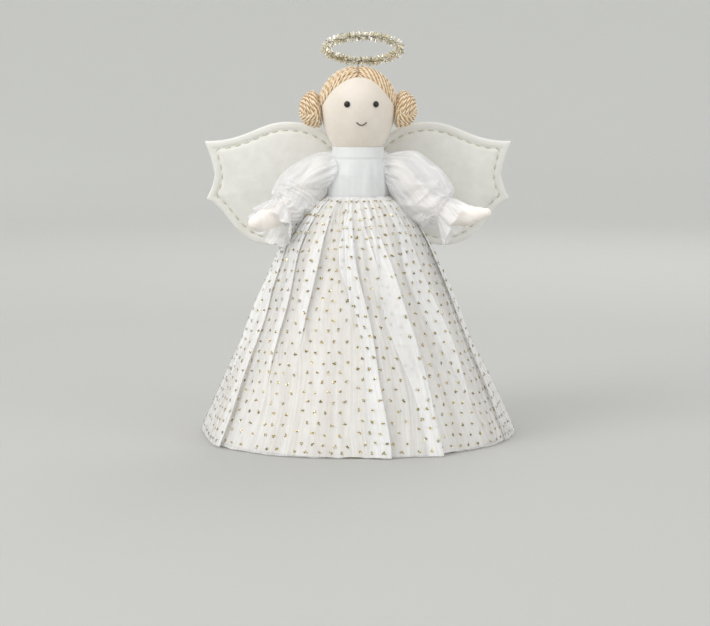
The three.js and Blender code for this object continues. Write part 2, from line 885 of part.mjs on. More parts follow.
const haloHole = haloAnchorWire(haloWire + fitGap, 2 * fitGap + haloWire);
add("head_cover", cut(headCover(), haloHole), "skin");
add(
  "head_filling",
  cut(headFilling(), dowelBore(headBottom + dowelIntoHead + fitGap), haloHole),
  "stuffing",
);
const face = new THREE.Group();
face.rotation.z = headYaw * degree;
angel.add(face);
add("left_eye", eye(-1), "thread", face);
add("right_eye", eye(1), "thread", face);
add("mouth_stitch", mouthStitch(), "thread", face);

const hair = cut(hairShell(), haloHole);
add("left_hair", hairHalf(-1, hair), "yarn");
add("right_hair", hairHalf(1, hair), "yarn");
add("parting_seam", partingSeam(), "partingThread");
add("left_bun", bun(-1), "yarn");
add("right_bun", bun(1), "yarn");

add("halo_anchor_wire", haloAnchorWire(haloWire, 0), "wire");
add("halo_stem", haloStem(), "wire");
add("halo_ring", haloRing(), "tinsel");

for (const [name, side] of [["left", -1], ["right", 1]]) {
  add(`${name}_arm`, arm(side), "skin");
  add(`${name}_arm_wire`, armWireRod(side, armWire, 0), "wire");
  add(`${name}_sleeve`, sleeve(side), "tulle");
  add(`${name}_cuff_elastic`, cuff(side), "elastic");
}
addWings();

export default angel;
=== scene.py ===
# %% [markdown]
# # Dressing a cloth angel
#
# The solids from the CAD step give every size and place: a card cone, a stuffed doll, two padded
# wings and a halo. This lesson covers them with what the eye sees on the real thing: cotton, satin,
# dotted tulle, felt, twisted yarn and tinsel. Each piece is made in its own place, in metres.

import json
import math
import random

import bpy
from mathutils import Matrix, Vector, noise
from mathutils.geometry import interpolate_bezier


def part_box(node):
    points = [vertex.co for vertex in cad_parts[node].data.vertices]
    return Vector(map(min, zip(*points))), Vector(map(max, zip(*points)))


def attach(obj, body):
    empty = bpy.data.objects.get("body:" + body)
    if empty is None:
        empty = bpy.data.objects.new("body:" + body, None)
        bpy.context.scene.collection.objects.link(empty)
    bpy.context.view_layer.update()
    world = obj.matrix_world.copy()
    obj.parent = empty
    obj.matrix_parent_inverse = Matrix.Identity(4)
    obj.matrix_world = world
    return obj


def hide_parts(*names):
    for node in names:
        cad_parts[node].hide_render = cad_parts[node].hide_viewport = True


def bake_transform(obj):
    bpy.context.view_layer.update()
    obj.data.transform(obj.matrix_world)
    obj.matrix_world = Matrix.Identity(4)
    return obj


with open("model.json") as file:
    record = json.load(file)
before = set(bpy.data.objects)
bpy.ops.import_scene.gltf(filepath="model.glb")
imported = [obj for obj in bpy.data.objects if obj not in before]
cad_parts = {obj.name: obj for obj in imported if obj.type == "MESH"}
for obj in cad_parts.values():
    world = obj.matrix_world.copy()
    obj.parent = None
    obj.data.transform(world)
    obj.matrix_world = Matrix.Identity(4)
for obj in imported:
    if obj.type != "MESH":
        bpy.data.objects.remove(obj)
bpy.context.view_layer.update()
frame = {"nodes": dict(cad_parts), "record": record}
joints = {joint["name"]: joint for joint in frame["record"]["behaviour"]["joints"]}
MM = 0.001
LEFT, RIGHT = -1, 1
SIDES = {"left": LEFT, "right": RIGHT}

# %% [markdown]
# ## Camera, floor and light
#
# The photograph was taken from a little above the waist with a long lens, so the sides of the
# skirt stay almost parallel. A round studio bowl serves as floor and backdrop, because it looks
# the same from every side. One large soft lamp from the upper left gives the gentle shading on
# the right of the head and sleeves, and weak lamps fill the rest.

# %% Camera at the photograph's viewing angle
AIM = Vector((-2.6, 0, 103)) * MM
CAMERA_ELEVATION = math.radians(6.9)
CAMERA_DISTANCE = 1.72
camera_data = bpy.data.cameras.new("photo_camera")
camera_data.sensor_width = 36
camera_data.lens = 101.4
camera = bpy.data.objects.new("photo_camera", camera_data)
bpy.context.collection.objects.link(camera)
away = Vector((0, -math.cos(CAMERA_ELEVATION), math.sin(CAMERA_ELEVATION)))
camera.location = AIM + CAMERA_DISTANCE * away
camera.rotation_euler = (math.pi / 2 - CAMERA_ELEVATION, 0, 0)
bpy.context.scene.camera = camera
bpy.context.scene.view_settings.view_transform = "Standard"


# %% Helpers for meshes
def lerp(a, b, share):
    return a + (b - a) * share


def smoothstep(low, high, value):
    share = min(1, max(0, (value - low) / (high - low)))
    return share * share * (3 - 2 * share)


def piece_from(name, points, faces, material, uvs):
    """A smooth mesh object at the origin, with a UV pair for each corner of each face."""
    mesh = bpy.data.meshes.new(name)
    mesh.from_pydata([tuple(p) for p in points], [], faces)
    layer = mesh.uv_layers.new(name="cloth")
    for loop, uv in zip(layer.data, uvs):
        loop.uv = uv
    mesh.polygons.foreach_set("use_smooth", [True] * len(mesh.polygons))
    mesh.materials.append(material)
    mesh.update()
    piece = bpy.data.objects.new(name, mesh)
    bpy.context.collection.objects.link(piece)
    return piece


def tube_grid(rings, cap_start=False, cap_end=False):
    """Points and faces of a skin over closed rings, and the corner (ring, share) of each loop."""
    count = len(rings[0])
    points = [p for ring in rings for p in ring]
    faces = []
    corners = []
    for i in range(len(rings) - 1):
        for j in range(count):
            k = (j + 1) % count
            faces.append((i * count + j, i * count + k, (i + 1) * count + k, (i + 1) * count + j))
            corners += [(i, j / count), (i, (j + 1) / count), (i + 1, (j + 1) / count), (i + 1, j / count)]
    for wanted, row, turn in ((cap_start, 0, -1), (cap_end, len(rings) - 1, 1)):
        if wanted:
            middle = sum(rings[row], Vector()) / count
            points.append(middle)
            for j in range(count):
                pair = (row * count + j, row * count + (j + 1) % count)[::turn]
                faces.append((len(points) - 1, *pair))
                corners += [(row, j / count)] * 3
    return points, faces, corners


def shell_piece(name, rings, material, width, length, cap_start=False, cap_end=False):
    """A skin over closed rings whose UV map runs width metres round and length metres along."""
    points, faces, corners = tube_grid(rings, cap_start, cap_end)
    steps = len(rings) - 1
    uvs = [(share * width, row / steps * length) for row, share in corners]
    return piece_from(name, points, faces, material, uvs)


def even_path(points, spacing):
    """The same path as points an even distance apart."""
    lengths = [0.0]
    for a, b in zip(points, points[1:]):
        lengths.append(lengths[-1] + (b - a).length)
    count = max(2, round(lengths[-1] / spacing))
    path = []
    k = 0
    for i in range(count + 1):
        goal = lengths[-1] * i / count
        while k < len(points) - 2 and lengths[k + 1] < goal:
            k += 1
        share = (goal - lengths[k]) / max(1e-9, lengths[k + 1] - lengths[k])
        path.append(points[k].lerp(points[k + 1], share))
    return path


def grain(point, size, seed=0):
    """Smooth noise from -1 to 1 that changes over about size metres."""
    return noise.noise(Vector(point) / size + Vector((seed * 7.3, seed * 3.1, seed * 5.7)))


def turns_round(count):
    """The angles of even steps round a circle."""
    return [2 * math.pi * j / count for j in range(count)]


def path_frames(path, across):
    """Each place on a path, the way ahead, and two directions square to it that hardly turn."""
    last = len(path) - 1
    for i, place in enumerate(path):
        ahead = (path[min(i + 1, last)] - path[max(i - 1, 0)]).normalized()
        across = (across - ahead * across.dot(ahead)).normalized()
        yield place, ahead, across, ahead.cross(across)


# %% Helpers for twisted ropes
def start_turn(number):
    """The angle that a rope's twist starts at, so that neighbours never match."""
    return 2.4 * number


def rope_rings(path, radius, plies, lay, sides, groove=0.3, number=0):
    """Rings of a twisted rope: its section has one lobe for each ply, and turns along the path."""
    rings = []
    length = 0.0
    before = path[0]
    first_across = (path[1] - path[0]).normalized().orthogonal().normalized()
    for place, _, across, up in path_frames(path, first_across):
        length += (place - before).length
        before = place
        twist = 2 * math.pi * length / lay + start_turn(number)
        ring = []
        for angle in turns_round(sides):
            lobe = abs(math.cos(0.5 * plies * (angle - twist)))
            reach = radius * (1 - groove + groove * lobe)
            ring.append(place + across * reach * math.cos(angle) + up * reach * math.sin(angle))
        rings.append(ring)
    return rings


def joined_ropes(name, all_rings, material, spacing, lay):
    """Many ropes in one mesh, each with its own UV strip that turns with the rope's twist."""
    points = []
    faces = []
    uvs = []
    for number, rings in enumerate(all_rings):
        rope_points, rope_faces, corners = tube_grid(rings, True, True)
        first = len(points)
        points += rope_points
        faces += [tuple(first + k for k in face) for face in rope_faces]
        shift = number - start_turn(number) / (2 * math.pi)
        for row, share in corners:
            uvs.append((share - row * spacing / lay + shift, row * spacing + 0.11 * number))
    return piece_from(name, points, faces, material, uvs)


# %% Floor and backdrop in one bowl
def linear(red, green, blue):
    """A colour picked from 0 to 255 as the shader's linear values."""
    channels = []
    for value in (red, green, blue):
        share = value / 255
        channels.append(share / 12.92 if share <= 0.04045 else ((share + 0.055) / 1.055) ** 2.4)
    return (*channels, 1)


def new_finish(name):
    material = bpy.data.materials.new(name)
    material.use_nodes = True
    return material, material.node_tree.nodes["Principled BSDF"]


def add_node(material, kind, inputs=None, **settings):
    node = material.node_tree.nodes.new(kind)
    for key, value in settings.items():
        setattr(node, key, value)
    for key, value in (inputs or {}).items():
        node.inputs[key].default_value = value
    return node


def wire_up(material, source, target):
    material.node_tree.links.new(source, target)


def two_colours(material, shader, first, second, factor, low=0.35, high=0.65):
    ramp = add_node(material, "ShaderNodeValToRGB")
    ramp.color_ramp.elements[0].position = low
    ramp.color_ramp.elements[1].position = high
    ramp.color_ramp.elements[0].color = first
    ramp.color_ramp.elements[1].color = second
    wire_up(material, factor, ramp.inputs["Fac"])
    wire_up(material, ramp.outputs["Color"], shader.inputs["Base Color"])


def studio_bowl():
    first_ring = 0.6
    floor_radius = 2.4
    rise = 1.3
    wall_top = 1.7
    sides = 96
    steps = 12
    profile = [(first_ring, 0.0), (floor_radius, 0.0)]
    for step in range(1, steps + 1):
        turn = step / steps * math.pi / 2
        profile.append((floor_radius + rise * math.sin(turn), rise * (1 - math.cos(turn))))
    profile.append((floor_radius + rise, wall_top))
    turns = turns_round(sides)
    rings = []
    for radius, height in profile:
        rings.append([Vector((radius * math.cos(a), radius * math.sin(a), height)) for a in turns])
    material, shader = new_finish("studio_paper")
    # Painted light and shade: the paper runs from darker at the middle of the floor to lighter far out and up
    # the wall.
    coordinates = add_node(material, "ShaderNodeTexCoord")
    far = add_node(material, "ShaderNodeVectorMath", operation="LENGTH")
    share = add_node(material, "ShaderNodeMath", {1: 0.25}, operation="MULTIPLY")
    wire_up(material, coordinates.outputs["Object"], far.inputs[0])
    wire_up(material, far.outputs["Value"], share.inputs[0])
    two_colours(material, shader, linear(182, 182, 179), linear(209, 210, 207), share.outputs[0], 0.2, 0.72)
    shader.inputs["Roughness"].default_value = 0.95
    bowl = shell_piece("studio_bowl", rings, material, 1, 1, cap_start=True)
    bowl.data.flip_normals()


def area_lamp(name, place, size, power, colour=(1, 1, 1)):
    data = bpy.data.lights.new(name, "AREA")
    data.size = size
    data.energy = power
    data.color = colour
    lamp = bpy.data.objects.new(name, data)
    lamp.location = place
    aim = Vector((0, 0, 0.2)) - Vector(place)
    lamp.rotation_euler = aim.to_track_quat("-Z", "Y").to_euler()
    bpy.context.collection.objects.link(lamp)


studio_bowl()
area_lamp("window_upper_left", (-1.75, -1.25, 1.5), 1.5, 31, (1, 0.99, 0.97))
area_lamp("fill_right", (1.7, -1.3, 0.8), 1.4, 9)
area_lamp("rim_behind", (0.5, 1.6, 1.5), 1.0, 9)
world = bpy.data.worlds.new("studio_world")
world.use_nodes = True
world.node_tree.nodes["Background"].inputs["Color"].default_value = (1, 1, 1, 1)
world.node_tree.nodes["Background"].inputs["Strength"].default_value = 0.9
bpy.context.scene.world = world

# %% [markdown]
# ## Finishes
#
# Cloth never shows one flat colour. Each finish below mixes two close colours with noise at the
# scale of its fibres, and gives the surface a bump: crossed threads for woven cloth, tangled
# fibres for felt, long streaks for yarn. Woven cloth reads its UV map, which runs in metres along
# the cloth, so that the threads follow every fold. Sheer cloth also lets less through in some
# streaks than in others, as gathered net does where its threads are drawn together.


# %% Woven and felted finishes
def add_bump(material, shader, height, strength, depth):
    bump = add_node(material, "ShaderNodeBump", {"Strength": strength, "Distance": depth})
    wire_up(material, height, bump.inputs["Height"])
    wire_up(material, bump.outputs["Normal"], shader.inputs["Normal"])


def noise_on(material, coordinates, scale, detail=4.0, rough=0.6):
    texture = add_node(material, "ShaderNodeTexNoise", {"Scale": scale, "Detail": detail, "Roughness": rough})
    wire_up(material, coordinates, texture.inputs["Vector"])
    return texture.outputs["Fac"]


def crossed_threads(material, coordinates, spacing):
    """Height of a plain weave: two sets of fine ridges at right angles, closer for a finer thread."""
    ridges = []
    for direction in ("X", "Y"):
        wave = add_node(
            material,
            "ShaderNodeTexWave",
            {"Scale": 0.5 / spacing, "Distortion": 0.6, "Detail Scale": 2.0},
            bands_direction=direction,
        )
        wire_up(material, coordinates, wave.inputs["Vector"])
        ridges.append(wave.outputs["Fac"])
    weave = add_node(material, "ShaderNodeMath", operation="MULTIPLY")
    wire_up(material, ridges[0], weave.inputs[0])
    wire_up(material, ridges[1], weave.inputs[1])
    return weave.outputs["Value"]


def woven_finish(name, first, second, thread, roughness, sheen, strength=0.25):
    material, shader = new_finish(name)
    coordinates = add_node(material, "ShaderNodeTexCoord")
    mottle = noise_on(material, coordinates.outputs["Object"], 60, 6)
    two_colours(material, shader, first, second, mottle)
    weave = crossed_threads(material, coordinates.outputs["UV"], thread)
    add_bump(material, shader, weave, strength, 0.3 * thread)
    shader.inputs["Roughness"].default_value = roughness
    shader.inputs["Sheen Weight"].default_value = sheen
    shader.inputs["Sheen Roughness"].default_value = 0.5
    return material


def felt_finish():
    material, shader = new_finish("wing_felt")
    coordinates = add_node(material, "ShaderNodeTexCoord").outputs["Object"]
    mottle = noise_on(material, coordinates, 45, 8)
    two_colours(material, shader, linear(231, 230, 224), linear(239, 238, 233), mottle)
    fibres = noise_on(material, coordinates, 900, 8, 0.75)
    add_bump(material, shader, fibres, 0.5, 0.5 * MM)
    shader.inputs["Roughness"].default_value = 0.95
    shader.inputs["Sheen Weight"].default_value = 0.25
    return material


STREAKS_PER_METRE = (140, 7, 1)
STREAK_CONTRAST = 0.65


def sheer_finish(name, first, second, alpha, thread):
    """Net cloth: light passes between its threads, more in some streaks down the cloth than in others."""
    material = woven_finish(name, first, second, thread, 0.6, 0.2, strength=0.15)
    shader = material.node_tree.nodes["Principled BSDF"]
    coordinates = add_node(material, "ShaderNodeTexCoord")
    stretch = add_node(material, "ShaderNodeMapping", {"Scale": STREAKS_PER_METRE})
    wire_up(material, coordinates.outputs["UV"], stretch.inputs["Vector"])
    uneven = add_node(
        material,
        "ShaderNodeMath",
        {1: STREAK_CONTRAST, 2: alpha - STREAK_CONTRAST / 2},
        operation="MULTIPLY_ADD",
    )
    wire_up(material, noise_on(material, stretch.outputs["Vector"], 1.0, 3), uneven.inputs[0])
    wire_up(material, uneven.outputs["Value"], shader.inputs["Alpha"])
    return material


def plain_finish(name, first, second, roughness, metallic=0.0, scale=300):
    material, shader = new_finish(name)
    coordinates = add_node(material, "ShaderNodeTexCoord").outputs["Object"]
    speckle = noise_on(material, coordinates, scale, 4)
    two_colours(material, shader, first, second, speckle)
    add_bump(material, shader, speckle, 0.2, 0.1 * MM)
    shader.inputs["Roughness"].default_value = roughness
    shader.inputs["Metallic"].default_value = metallic
    return material


SKIN_COTTON = woven_finish("skin_cotton", linear(228, 219, 207), linear(235, 227, 216), 0.5 * MM, 0.85, 0.15)
HAND_COTTON = woven_finish("hand_cotton", linear(248, 241, 234), linear(252, 247, 241), 0.5 * MM, 0.85, 0.15)
BODICE_SATIN = woven_finish(
    "bodice_satin", linear(218, 220, 221), linear(225, 227, 228), 0.35 * MM, 0.5, 0.3, 0.12
)
LINING_SATIN = woven_finish(
    "lining_satin", linear(211, 203, 190), linear(220, 212, 200), 0.35 * MM, 0.55, 0.2, 0.12
)
SKIRT_TULLE = sheer_finish("skirt_tulle", linear(249, 249, 249), linear(254, 254, 254), 0.54, 0.9 * MM)
SLEEVE_TULLE = sheer_finish("sleeve_tulle", linear(245, 245, 247), linear(251, 251, 252), 0.54, 0.7 * MM)
WING_FELT = felt_finish()
EYE_THREAD = plain_finish("eye_thread", linear(12, 11, 10), linear(30, 27, 25), 0.35)
MOUTH_THREAD = plain_finish("mouth_thread", linear(58, 40, 30), linear(80, 58, 44), 0.7)
PARTING_THREAD = plain_finish("parting_thread", linear(150, 110, 66), linear(176, 134, 86), 0.8)
STITCH_THREAD = plain_finish(
    "wing_stitch_thread", linear(190, 187, 168), linear(222, 219, 203), 0.5, 0.2, 900
)
CARD = plain_finish("cone_card", linear(188, 160, 124), linear(204, 178, 142), 0.9)
DOWEL_WOOD = plain_finish("dowel_wood", linear(206, 176, 134), linear(222, 196, 156), 0.7)
WIRE = plain_finish("soft_wire", linear(150, 150, 148), linear(178, 178, 176), 0.35, 1.0)
ELASTIC = plain_finish("cuff_elastic", linear(240, 238, 234), linear(246, 245, 242), 0.8)


# %% Yarn, tinsel and glitter finishes
YARN_PLIES = 3


def yarn_finish():
    """Twisted yarn: the UV map has one turn round the strand, fixed to its plies, and metres along it."""
    material, shader = new_finish("hair_yarn")
    coordinates = add_node(material, "ShaderNodeTexCoord")
    stretch = add_node(material, "ShaderNodeMapping", {"Scale": (6, 90, 1)})
    wire_up(material, coordinates.outputs["UV"], stretch.inputs["Vector"])
    streaks = noise_on(material, stretch.outputs["Vector"], 1.0, 6, 0.7)
    # Painted shade: the colour follows each ply's lobe round the strand, dark in the grooves between the
    # plies and light on their tops. This is mixed with streaks of the yarn's own tone along its length.
    split = add_node(material, "ShaderNodeSeparateXYZ")
    wire_up(material, coordinates.outputs["UV"], split.inputs["Vector"])
    turn = add_node(material, "ShaderNodeMath", {1: YARN_PLIES * math.pi}, operation="MULTIPLY")
    wave = add_node(material, "ShaderNodeMath", operation="COSINE")
    ridge = add_node(material, "ShaderNodeMath", operation="ABSOLUTE")
    shade = add_node(material, "ShaderNodeMath", {1: 0.5}, operation="MULTIPLY_ADD")
    wire_up(material, split.outputs["X"], turn.inputs[0])
    wire_up(material, turn.outputs[0], wave.inputs[0])
    wire_up(material, wave.outputs[0], ridge.inputs[0])
    wire_up(material, ridge.outputs[0], shade.inputs[0])
    wire_up(material, streaks, shade.inputs[2])
    two_colours(material, shader, linear(140, 100, 57), linear(243, 228, 205), shade.outputs[0], 0.42, 1.0)
    ramp = material.node_tree.nodes["Color Ramp"].color_ramp
    ramp.elements.new(0.76).color = linear(205, 171, 123)
    add_bump(material, shader, shade.outputs[0], 0.7, 0.4 * MM)
    shader.inputs["Roughness"].default_value = 0.85
    shader.inputs["Sheen Weight"].default_value = 0.15
    return material


def flake_finish(name, shades, roughness):
    """Metal film in several tints, one for each flake, picked by the attribute tint."""
    material, shader = new_finish(name)
    tint = add_node(material, "ShaderNodeAttribute", attribute_name="tint")
    ramp = add_node(material, "ShaderNodeValToRGB")
    ramp.color_ramp.interpolation = "CONSTANT"
    while len(ramp.color_ramp.elements) < len(shades):
        ramp.color_ramp.elements.new(0.5)
    for k, shade in enumerate(shades):
        ramp.color_ramp.elements[k].position = k / len(shades)
        ramp.color_ramp.elements[k].color = shade
    wire_up(material, tint.outputs["Fac"], ramp.inputs["Fac"])
    wire_up(material, ramp.outputs["Color"], shader.inputs["Base Color"])
    shader.inputs["Metallic"].default_value = 0.65
    shader.inputs["Roughness"].default_value = roughness
    return material


HAIR_YARN = yarn_finish()
HALO_FILM = flake_finish(
    "halo_film",
    [
        linear(255, 250, 235),
        linear(255, 255, 252),
        linear(238, 229, 198),
        linear(255, 253, 248),
        linear(200, 190, 148),
    ],
    0.32,
)
DOT_GLITTER = flake_finish(
    "dot_glitter",
    [linear(188, 170, 112), linear(150, 136, 84), linear(232, 220, 178), linear(120, 108, 68)],
    0.35,
)
print("finishes:", len(bpy.data.materials))

# %% [markdown]
# ## Pieces that keep their shape
#
# Cone, dowel, wires, the cuffs' elastic and the felt yoke between the wings have the right shape
# already. They only need a finish.

# %% Finishes for the solids that stay
KEPT_SOLIDS = {
    "cone_former": CARD,
    "neck_dowel": DOWEL_WOOD,
    "shoulder_wire": WIRE,
    "halo_anchor_wire": WIRE,
    "halo_stem": WIRE,
    "left_arm_wire": WIRE,
    "right_arm_wire": WIRE,
    "left_cuff_elastic": ELASTIC,
    "right_cuff_elastic": ELASTIC,
    "wing_yoke": WING_FELT,
}
for node_name, finish in KEPT_SOLIDS.items():
    solid = frame["nodes"][node_name]
    solid.data.materials.clear()
    solid.data.materials.append(finish)


def dress(piece, body, slot, *nodes):
    """Rides a finished piece on its body and hides what it stands for. The slot is not used."""
    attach(piece, body)
    if nodes:
        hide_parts(*nodes)


# %% [markdown]
# ## Bodice
#
# A satin tube drawn tight over the stuffed torso. It is nearly plain: a deep band at the neck,
# turned in at its edge, and long shallow wrinkles that rise from the gathered waist.

# %% Bodice
bodice_low, bodice_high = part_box("bodice")
BODICE_RADIUS = bodice_high.x
BODICE_NECK_RADIUS = 20.7 * MM
BODICE_CHEST_RISE = 24 * MM
NECK_EDGE = bodice_high.z - 1.0 * MM
NECK_BAND = 9.5 * MM
BAND_EDGE = 0.8 * MM
BAND_THICKNESS = 0.6 * MM
LIP_WIDTH = 1.0 * MM
LIP_DEPTH = 3 * MM


def bodice_radius(height):
    chest = bodice_low.z + BODICE_CHEST_RISE
    share = min(1, max(0, (height - chest) / (bodice_high.z - chest)))
    return lerp(BODICE_RADIUS, BODICE_NECK_RADIUS, share**1.2)


def make_bodice():
    around, along = 128, 64
    rings = []
    for i in range(along + 1):
        height = lerp(bodice_low.z, NECK_EDGE, i / along)
        band = BAND_THICKNESS * smoothstep(NECK_EDGE - NECK_BAND, NECK_EDGE - NECK_BAND + BAND_EDGE, height)
        ring = []
        for turn in turns_round(around):
            base = Vector((math.sin(turn), -math.cos(turn), 0))
            wrinkle = grain((7 * turn, 0.6, height / MM / 40), 1.0) * 0.9 * MM
            wrinkle += grain((2.4 * turn, 2.0, height / MM / 9 + 2 * turn), 1.0) * 0.55 * MM
            wrinkle *= 1 - smoothstep(NECK_EDGE - 2 * NECK_BAND, NECK_EDGE - NECK_BAND, height)
            ring.append(base * (bodice_radius(height) + band + wrinkle) + Vector((0, 0, height)))
        rings.append(ring)
    lip = [p + Vector((-p.x, -p.y, 0)).normalized() * LIP_WIDTH for p in rings[-1]]
    inner = [p - Vector((0, 0, LIP_DEPTH)) for p in lip]
    width = 2 * math.pi * BODICE_RADIUS
    piece = shell_piece("bodice_satin_tube", rings + [lip, inner], BODICE_SATIN, width, 0.05)
    dress(piece, "doll", "satin", "bodice", "torso_filling")


make_bodice()

# %% [markdown]
# ## Skirts
#
# Two layers hang from the waist. The cream lining lies smoothly on the card cone. The tulle over
# it is cut far wider than the waist and gathered, so it falls in flat pleats: at each pleat the
# cloth runs out to an edge, doubles back under itself and runs on. Where it lies three layers deep
# it hides the lining better, which makes the white bands beside each edge. A plain wave would not
# show this, so every row of the tulle is drawn as a line that really folds back on itself. Some
# pleats open out before they reach the hem, and both layers swing out at the sides.

# %% The line both skirts follow
_, lining_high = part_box("underskirt")
LINING_WALL = 0.8 * MM
LINING_SWING = 0.85
WAIST = Vector((BODICE_RADIUS + 0.3 * MM, lining_high.z, 0))
HEM = Vector((lining_high.x - LINING_WALL, 0.8 * MM, 0))
HEM_FLARE = 4.0 * MM
LEFT_FLARE = 6.5 * MM
RIGHT_FLARE = 3.0 * MM
SKIRT_FLARE = Vector((17, -7, 0)) * MM
SKIRT_FALL = Vector((-56, 147, 0)) * MM
PATH_STEP = 0.5 * MM
SKIRT_PATH = even_path(interpolate_bezier(WAIST, WAIST + SKIRT_FLARE, HEM + SKIRT_FALL, HEM, 400), PATH_STEP)
SKIRT_LENGTH = PATH_STEP * (len(SKIRT_PATH) - 1)


def skirt_line(v):
    """Radius (x) and height (y) on the lining, an even share v of the way from waist to hem."""
    k = v * (len(SKIRT_PATH) - 1)
    low = min(int(k), len(SKIRT_PATH) - 2)
    return SKIRT_PATH[low].lerp(SKIRT_PATH[low + 1], k - low)


def around_axis(radius, turn, height):
    """A point from its angle off straight ahead, which is -Y."""
    return Vector((radius * math.sin(turn), -radius * math.cos(turn), height))


def side_swing(turn, v):
    """How far the skirts swing out at both sides, from halfway down to the hem."""
    side_flare = LEFT_FLARE if math.sin(turn) < 0 else RIGHT_FLARE
    return side_flare * math.sin(turn) ** 2 * smoothstep(0.45, 1, v)


def lining_lift(turn, v):
    """How far the lining stands off its plain line: low soft waves, and its swing at the sides."""
    waves = 0.5 + 0.5 * math.sin(11 * turn + 1.2 * math.sin(3 * turn))
    return waves * lerp(0.1, 0.9, v) * MM + LINING_SWING * side_swing(turn, v)


# %% Lining
def make_lining():
    around, along = 192, 60
    rings = []
    for i in range(along + 1):
        v = i / along
        line = skirt_line(v)
        lifts = [(turn, LINING_WALL + lining_lift(turn, v)) for turn in turns_round(around)]
        rings.append([around_axis(line.x + lift, turn, line.y) for turn, lift in lifts])
    hem_width = 2 * math.pi * HEM.x
    piece = shell_piece("skirt_lining", rings, LINING_SATIN, hem_width, SKIRT_LENGTH)
    piece.data.flip_normals()
    dress(piece, "doll", "lining", "underskirt")


make_lining()

# %% Tulle
# Pleats in front: angle in degrees off straight ahead at the hem and at the waist, the side that
# the folded edge faces, the share of the way down where it has opened out (at 1.45 and over it
# stays folded to the hem), and its overlap in mm.
FRONT_PLEATS = (
    (-72, -84, -1, 0.9, 9),
    (-55, -72, 1, 1.45, 11),
    (-42, -52, 1, 0.85, 15),
    (-27, -30, 1, 0.72, 13),
    (1, -19, -1, 0.62, 8),
    (10, -9, 1, 1.7, 11),
    (21, 2, 1, 0.5, 6),
    (32, 11, 1, 1.7, 13),
    (52, 48, 1, 1.0, 12),
    (69, 74, -1, 1.2, 10),
)
BACK_PLEATS = 13
PANEL_STEPS = 26
FOLD_STEPS = 12
TULLE_CLEARANCE = 1.4 * MM
LEAST_AIR = 0.5 * MM
TULLE_GATHERS = 54
FOLD_ROUND = 4.0 * MM
OPENED_FOLD = 5.0 * MM
LEFT_SWELL = 3.5 * MM
TULLE_FULLNESS = 1.35
EDGE_SWAY = 0.022
EDGE_RIPPLE = 0.012
OVERLAP_CHANGE = 0.32
DEPTH_CHANGE = 0.3
OPENING_SPAN = 0.45
GATHER_HEIGHT = 2.0 * MM
RIDGE_HEIGHT = 3.2 * MM
BROAD_HEIGHT = 6.0 * MM
HEM_RISE = 2.4 * MM
WAIST_HEADING = 1.2 * MM
WAIST_TUCK = -0.4 * MM


def plan_pleats():
    """Angles, overlap, depth and reach of every pleat: the front ones as listed, the rest at random."""
    picker = random.Random(29)
    places = list(FRONT_PLEATS)
    last = places[-1][0]
    gap = (360 - last + places[0][0]) / (BACK_PLEATS + 1)
    for k in range(BACK_PLEATS):
        hem = last + gap * (k + 1) + picker.uniform(-3, 3)
        end = picker.choice((0.55, 0.8, 1.7))
        places.append((hem, hem + picker.uniform(-7, 7), picker.choice((-1, 1)), end, picker.uniform(6, 13)))
    pleats = []
    for hem, waist, facing, end, overlap in places:
        pleats.append(
            {
                "hem": math.radians(hem),
                "waist": math.radians(waist),
                "facing": facing,
                "end": end,
                "overlap": overlap * MM,
                "depth": (1.8 + 0.2 * overlap) * MM,
                "sway": picker.uniform(0, 6),
            }
        )
    return pleats


PLEATS = plan_pleats()


def pleat_edges(pleat, v, radius):
    """Where one panel ends and the next begins, as (angle, height): the edge itself stands high."""
    middle = lerp(pleat["hem"], pleat["waist"], (1 - v) ** 2)
    sway = pleat["sway"]
    middle += EDGE_SWAY * math.sin(5 * v + sway) + EDGE_RIPPLE * math.sin(13 * v + 2 * sway)
    kept = 1 - smoothstep(pleat["end"] - OPENING_SPAN, pleat["end"], v)
    overlap = pleat["overlap"] * smoothstep(-0.08, 0.35, v)
    overlap *= 1 + OVERLAP_CHANGE * math.sin(8 * v + 1.7 * sway)
    width = lerp(-OPENED_FOLD, overlap, kept) / radius
    depth = lerp(1.0 * MM, pleat["depth"], smoothstep(0, 0.5, v)) * kept
    depth *= 1 + DEPTH_CHANGE * math.sin(9 * v + 3 * sway)
    turn_round = FOLD_ROUND * smoothstep(-0.1, 0.35, v) * kept / radius
    if pleat["facing"] > 0:
        return (middle, depth), (middle - width, 0.0), turn_round
    return (middle + width, 0.0), (middle, depth), turn_round


def tulle_row(v):
    """One closed row of the tulle at a share of the way down, panel after panel."""
    line = skirt_line(v)
    ends = [pleat_edges(pleat, v, line.x) for pleat in PLEATS]
    flat = []
    for k, (_, start, _) in enumerate(ends):
        wrap = 2 * math.pi if k == len(ends) - 1 else 0.0
        stop, after, round_over = ends[(k + 1) % len(ends)]
        handles = [
            Vector((stop[0] + wrap, stop[1], 0)),
            Vector((stop[0] + wrap + round_over, stop[1], 0)),
            Vector((after[0] + wrap - round_over, after[1], 0)),
            Vector((after[0] + wrap, after[1], 0)),
        ]
        for i in range(PANEL_STEPS):
            share = i / PANEL_STEPS
            height = lerp(start[1], stop[1], smoothstep(0, 1, share))
            flat.append((lerp(start[0], handles[0].x, share), height))
        flat += [(p.x, p.y) for p in interpolate_bezier(*handles, FOLD_STEPS + 1)[:-1]]
    return [tulle_point(turn, height, v, line) for turn, height in flat]


